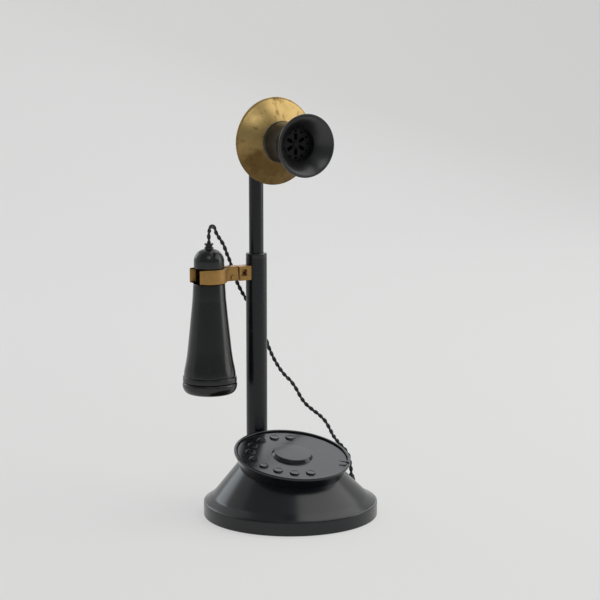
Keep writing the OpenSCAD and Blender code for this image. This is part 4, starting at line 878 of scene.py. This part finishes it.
class TELEPHONE_OT_transmitter(bpy.types.Operator):
    """Spun brass cup and face of the transmitter, with the lug that it tilts on"""
    bl_idname = "telephone.transmitter"
    bl_label = "Transmitter"

    def execute(self, context):
        rim = mm("rim_radius")
        # The cup's radius grows by 1 - t ** 1.4 while its depth t goes evenly from 1 to 0.
        t = np.linspace(1, 0, 32)
        swell = (rim - 13.5) * (1 - t ** 1.4)
        outside = np.stack([13 + swell, 27.9 - 15.4 * t], 1)
        inside = np.stack([11.5 + swell, 27.9 - 13.9 * t], 1)[::-1]
        cup = np.vstack([[(0, 12.5), (6, 12.5), (12.6, 12.5)], outside,
                         [(rim - 0.5, 28.3), (rim - 2, 28.3)], inside, [(6, 14), (0, 14)]])
        lug = rounded([(13.4, 4.2), (5, 4.2), (-5.7, 5.7), (-5.7, -5.7), (5, -4.2), (13.4, -4.2)],
                      [0.1, 6, 5.6, 5.6, 6, 0.1], 12)
        spun("brass_cup", cup, on_transmitter, "brass", "transmitter_cup", 160, True)
        skin = Skin()
        grid = slab(lug, -4.05, 4.05, 0.5, lambda g: g[..., ::-1])
        skin.add_grid(on_transmitter(grid), loop=False)
        skin.object("brass_lug", "brass", "transmitter_cup", stands=False)
        # The face comes forwards by a mix of a straight line and a quarter sine.
        u = np.linspace(0, 1, 36)
        face = np.stack([(rim - 1) + (14.8 - rim + 1) * u,
                         29.5 + 9.5 * (0.35 * np.sin(u * math.pi / 2) + 0.65 * u)], 1)
        rolled = rounded([(rim - 2, 28.3), (rim, 28.3), (rim, 29.5), (rim - 1.0, 29.5)],
                         [0.1, 0.35, 0.55, 0.0], 6, False)
        neck = rounded([(14.8, 39), (13, 39), (13, 36), (14.4, 36)], [0, 0.3, 0.1, 0.1], 5, False)
        back = np.stack([(rim - 1.6) + (15.0 - rim + 1.6) * u[:4:-1], face[:4:-1, 1] - 1.5], 1)
        profile = thinned(np.vstack([rolled, face[1:], neck[1:], back]))
        spun("brass_face", profile, on_transmitter, "brass", "transmitter_face", 160)
        return {"FINISHED"}


class TELEPHONE_OT_mouthpiece(bpy.types.Operator):
    """Black mouthpiece with its flared horn, and the grille in its throat"""
    bl_idname = "telephone.mouthpiece"
    bl_label = "Mouthpiece"

    def execute(self, context):
        mouth, front, neck = mm("mouth_radius"), 76.1, 15.0
        # The horn widens as u ** 1.35 towards the mouth, and the dish narrows inwards as u ** 0.8.
        u = np.linspace(0, 1, 26)
        horn = np.stack([neck + (mouth - 0.3 - neck) * u ** 1.35, front - 19 + 17.4 * u], 1)
        lip = rounded([(mouth - 0.3, front - 1.6), (mouth, front - 1.1), (mouth, front),
                       (mouth - 1.4, front), (mouth - 2.1, front - 0.9)],
                      [0, 0.3, 0.45, 0.5, 0], 6, False)
        dish = np.stack([(mouth - 2.1) + (12 - mouth + 2.1) * u ** 0.8, front - 0.9 - 9.7 * u], 1)
        root = rounded([(11, 36), (12.9, 36), (12.9, 39.05), (15.4, 39.05), (15.7, 40.0),
                        (15.0, 41.0)], [0.1, 0.1, 0.05, 0.3, 0.5, 0.4], 5, False)
        throat = rounded([(12, 65.5), (12, 58.4), (10.5, 58.4), (11, 55.4)],
                         [0, 0.2, 0.3, 0.1], 4, False)
        profile = thinned(np.vstack([root, horn, lip[1:], dish[1:], throat[1:]]))
        spun("mouthpiece_ebonite", braced(profile, 0.4), on_transmitter, "mouth", "mouthpiece", 160)
        softened("grille_ebonite", "mouthpiece_grille", "grille", 0.2)
        return {"FINISHED"}


class TELEPHONE_OT_receiver(bpy.types.Operator):
    """Receiver: body, domed cap, ferrule and ear cap"""
    bl_idname = "telephone.receiver"
    bl_label = "Receiver"

    def execute(self, context):
        # The bell runs through radii at shares of its height; the cap's radius is r cos a ** 0.9
        # at the height 9.8 sin a.
        stations = np.array([(0.16, 1.055), (0.36, 1.18), (0.56, 1.31), (0.7, 1.405), (0.8, 1.5),
                             (0.88, 1.6), (0.95, 1.648), (1, 1.655)])
        top, seam, r0 = 171.1, 96.0, 12.0
        line = np.stack([r0 * stations[:, 1], top - (top - seam) * stations[:, 0]], 1)
        bell = smooth_through(line, 8)
        bell = bell[bell[:, 1] > seam + 4.9]
        upper = rounded([(1, 185.5), (4.2, 185.5), (4.2, 182.5), (6, 182.5), (6, top), (r0, top),
                         line[0]], [0, 0.2, 0.05, 0.15, 0.3, 0.9, 0], 7, False)
        foot = rounded([bell[-1], (19.25, seam + 4.5), (20.3, seam + 4.0), (20.5, seam + 0.4),
                        (19.8, seam), (17.7, seam), (17.7, 91), (15.9, 91), (15.9, seam)],
                       [0, 0.15, 0.5, 0.4, 0.1, 0.1, 0.1, 0.1, 0.1], 4, False)
        hollow = smooth_through(line - np.array([1.8, 0]), 3)[::-1]
        ceiling = line[0][1]
        profile = thinned(np.vstack([[(0, 185.5)], upper, bell[1:-1], foot, hollow,
                                     [(1, ceiling), (0, ceiling)]]), False)
        spun("receiver_ebonite", profile, on_receiver, "ebonite", "receiver_body", 128, True)
        r, low, high = mm("cap_radius"), 182.5, 197.3
        a = np.linspace(0, math.pi / 2, 24)
        dome = np.stack([np.maximum(r * np.cos(a) ** 0.9, 3.42), low + 5 + 9.8 * np.sin(a)], 1)
        cap = np.vstack([
            [(0, low + 3.02)],
            rounded([(1, low + 3.02), (4.22, low + 3.02), (4.22, low), (r, low), dome[0]],
                    [0, 0.1, 0.1, 0.55, 0], 5, False),
            dome[1:], [(3.42, high - 2.5), (1, high - 2.5)], [(0, high - 2.5)]])
        spun("cap_ebonite", thinned(cap, False), on_receiver, "ebonite", "receiver_cap", 112, True)
        ferrule = np.vstack([[(0, high - 2.48)], rounded(
            [(1, high - 2.48), (3.4, high - 2.48), (3.4, high + 1.0), (2.6, high + 1.3),
             (2.6, high + 2.3), (3.4, high + 2.7), (3.4, high + 4.0), (1, high + 4.0)],
            [0, 0.1, 0.6, 0.3, 0.3, 0.5, 0.5, 0], 5, False), [(0, high + 4.0)]])
        ferrule = thinned(ferrule, False)
        spun("ferrule_enamel", ferrule, on_receiver, "enamel", "cord_ferrule", 64, True)
        softened("ear_cap_ebonite", "ear_cap", "ebonite", 0.2)
        return {"FINISHED"}


def fork_outline():
    """Plan of the fork about the receiver's axis: a ring between two circles, open where both
    circles come down to the straight prongs, whose tips have rounded corners. An arc of radius r
    ends at the angle 180 degrees - arcsin(h / r), where it is h from the middle line."""
    inner, outer, half, thick, reach = 10.2, 13.5, 6.8, 2.0, 12.0
    out = math.pi - math.asin((half + thick) / outer)
    far = math.pi - math.asin(half / inner)
    a, b = np.linspace(-out, out, 65), np.linspace(far, -far, 49)
    tip = rounded([(-reach + 2.6, half + thick), (-reach, half + thick), (-reach, half + 1.3),
                   (-reach + 2.6, half)], [0, 0.5, 0.25, 0], 5, False)
    return np.vstack([outer * np.stack([np.cos(a), np.sin(a)], 1), tip[1:-1],
                      inner * np.stack([np.cos(b), np.sin(b)], 1), (tip * (1, -1))[-2:0:-1]])


class TELEPHONE_OT_hook(bpy.types.Operator):
    """Brass hook: the fork and its yoke, and the bracket with its window"""
    bl_idname = "telephone.hook"
    bl_label = "Hook"

    def execute(self, context):
        low, high = 171.4, 182.2
        skin = Skin()
        grid = slab(fork_outline(), low, high, 0.7, lambda g: g, 6)
        skin.add_grid(on_receiver(grid), loop=False)

        def flat(g):
            """An outline of (x, z) with its thickness along y."""
            return np.stack([g[..., 0], g[..., 2] + mm("stem_back"), g[..., 1]], -1)

        yoke = rounded([(-28.6, 171.8), (-17.3, 171.8), (-18.3, 182.6), (-28.6, 182.6)],
                       [0.3, 0.8, 0.8, 0.3], 4)
        skin.add_grid(slab(yoke, -4.5, 4.5, 0.6, flat), loop=False)
        tail = rounded([(-18.5, 177.4), (-2.6, 177.4), (-2.6, 179.4), (-18.5, 179.4)], 0.3, 4)
        skin.add_grid(slab(tail, -1.6, 1.6, 0.2, flat), loop=False)
        skin.object("fork_brass", "hook_brass", "hook_lever", sharp=50)
        softened("bracket_brass", "hook_bracket", "hook_brass", 0.4)
        softened("hook_rivet", "hook_pin", "hook_brass", 0.2)
        return {"FINISHED"}


class TELEPHONE_OT_carried_nodes(bpy.types.Operator):
    """Finishes of the nodes that are shown as they are, by their material slots"""
    bl_idname = "telephone.carried_nodes"
    bl_label = "Carried nodes"

    def execute(self, context):
        by_slot = {"enamel": "enamel", "bakelite": "ebonite", "brass": "hook_brass",
                   "inner_brass": "inner_brass", "steel": "steel", "magnet": "magnet",
                   "fibre": "fibre", "rubber": "rubber", "felt": "felt", "cloth": "rubber"}
        by_node = {"receiver_coils": "copper", "inner_leads": "felt", "lower_tube": "stem",
                   "upper_tube": "stem"}
        for name, node in NODES.items():
            kind = by_node.get(name) or by_slot[body_and_slot(name)[1]]
            node.data.materials.clear()
            node.data.materials.append(finish(kind))
        return {"FINISHED"}


class TELEPHONE_OT_stage(bpy.types.Operator):
    """Pale floor that sweeps up behind, pale surroundings and soft lamps"""
    bl_idname = "telephone.stage"
    bl_label = "Stage"

    def execute(self, context):
        scene = context.scene
        scene.view_settings.view_transform = "Standard"
        turn = np.linspace(0, math.pi / 2, 25)
        reach, high, bend = 2.2, 4.0, 1.0
        line = np.vstack([[(-9, 0)], np.stack([reach - bend + bend * np.sin(turn),
                                               bend - bend * np.cos(turn)], 1), [(reach, high)]])
        across = np.array([[-9.0, 9.0]])
        grid = np.stack(np.broadcast_arrays(across, line[:, :1], line[:, 1:]), 2)
        index = np.arange(len(line) * 2).reshape(-1, 2)
        quads = np.stack([index[:-1, 0], index[:-1, 1], index[1:, 1], index[1:, 0]], 1)
        mesh = bpy.data.meshes.new("sweep")
        mesh.from_pydata(grid.reshape(-1, 3).tolist(), [], quads.tolist())
        mesh.polygons.foreach_set("use_smooth", np.ones(len(quads), bool))
        floor = bpy.data.objects.new("sweep", mesh)
        scene.collection.objects.link(floor)
        f = Finish("Pale sweep")
        pale = tuple(colours().floor)
        mottled = f.blend(f.noise(3, 2) * 0.4, pale, tuple(c * 0.985 for c in pale))
        f.set(Base_Color=mottled, Roughness=0.9, Specular_IOR_Level=0.1)
        f.glow(pale, 0.62)
        mesh.materials.append(f.material)
        scene.world = bpy.data.worlds.new("Surroundings")
        scene.world.use_nodes = True
        tone, strength = scene.world.node_tree.nodes["Background"].inputs[:2]
        tone.default_value, strength.default_value = (0.80, 0.82, 0.86, 1), 0.36
        lamps = [
            ("Side", (1.00, -0.28, 1.38), 2.20, 15.0, (1.0, 0.985, 0.96)),
            ("Behind", (0.95, 1.35, 1.00), 1.40, 3.6, (0.94, 0.97, 1.0)),
            ("Low", (1.28, -0.50, 0.36), 0.80, 2.4, (1.0, 0.99, 0.97)),
            ("Left", (-0.46, 1.43, 0.65), 0.70, 2.0, (0.85, 0.93, 1.0)),
            ("Front", (-0.50, -0.95, 1.35), 0.80, 2.2, (0.96, 0.98, 1.0)),
        ]
        for name, at, size, power, tone in lamps:
            data = bpy.data.lights.new(name, "AREA")
            data.shape, data.size, data.energy, data.color = "DISK", size, power, tone
            lamp = bpy.data.objects.new(name, data)
            lamp.location = at
            lamp.rotation_mode = "QUATERNION"
            lamp.rotation_quaternion = (Vector((0, 0, 0.15)) - Vector(at)).to_track_quat("-Z", "Y")
            scene.collection.objects.link(lamp)
        return {"FINISHED"}


class TELEPHONE_PT_panel(bpy.types.Panel):
    """Lists the steps and the settings of the telephone"""
    bl_idname = "TELEPHONE_PT_panel"
    bl_label = "Telephone"
    bl_space_type = "VIEW_3D"
    bl_region_type = "UI"
    bl_category = "Telephone"

    def draw(self, context):
        for step in STEPS:
            self.layout.operator(step.bl_idname)
        for group in (context.scene.telephone_sizes, context.scene.telephone_colours):
            column = self.layout.column()
            for key in group.__annotations__:
                column.prop(group, key)


STEPS = [TELEPHONE_OT_camera, TELEPHONE_OT_cord, TELEPHONE_OT_base, TELEPHONE_OT_dial,
         TELEPHONE_OT_stem, TELEPHONE_OT_transmitter, TELEPHONE_OT_mouthpiece,
         TELEPHONE_OT_receiver, TELEPHONE_OT_hook, TELEPHONE_OT_carried_nodes, TELEPHONE_OT_stage]
CLASSES = [TelephoneSizes, TelephoneColours, *STEPS, TELEPHONE_PT_panel]


def register():
    for kind in CLASSES:
        bpy.utils.register_class(kind)
    bpy.types.Scene.telephone_sizes = bpy.props.PointerProperty(type=TelephoneSizes)
    bpy.types.Scene.telephone_colours = bpy.props.PointerProperty(type=TelephoneColours)


def unregister():
    del bpy.types.Scene.telephone_colours
    del bpy.types.Scene.telephone_sizes
    for kind in reversed(CLASSES):
        bpy.utils.unregister_class(kind)


def main():
    """Registers the add-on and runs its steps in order."""
    register()
    bpy.ops.telephone.camera()
    bpy.ops.telephone.cord()
    bpy.ops.telephone.carried_nodes()
    bpy.ops.telephone.base()
    bpy.ops.telephone.dial()
    bpy.ops.telephone.stem()
    bpy.ops.telephone.transmitter()
    bpy.ops.telephone.mouthpiece()
    bpy.ops.telephone.receiver()
    bpy.ops.telephone.hook()
    bpy.ops.telephone.stage()


if __name__ == "__main__":
    main()
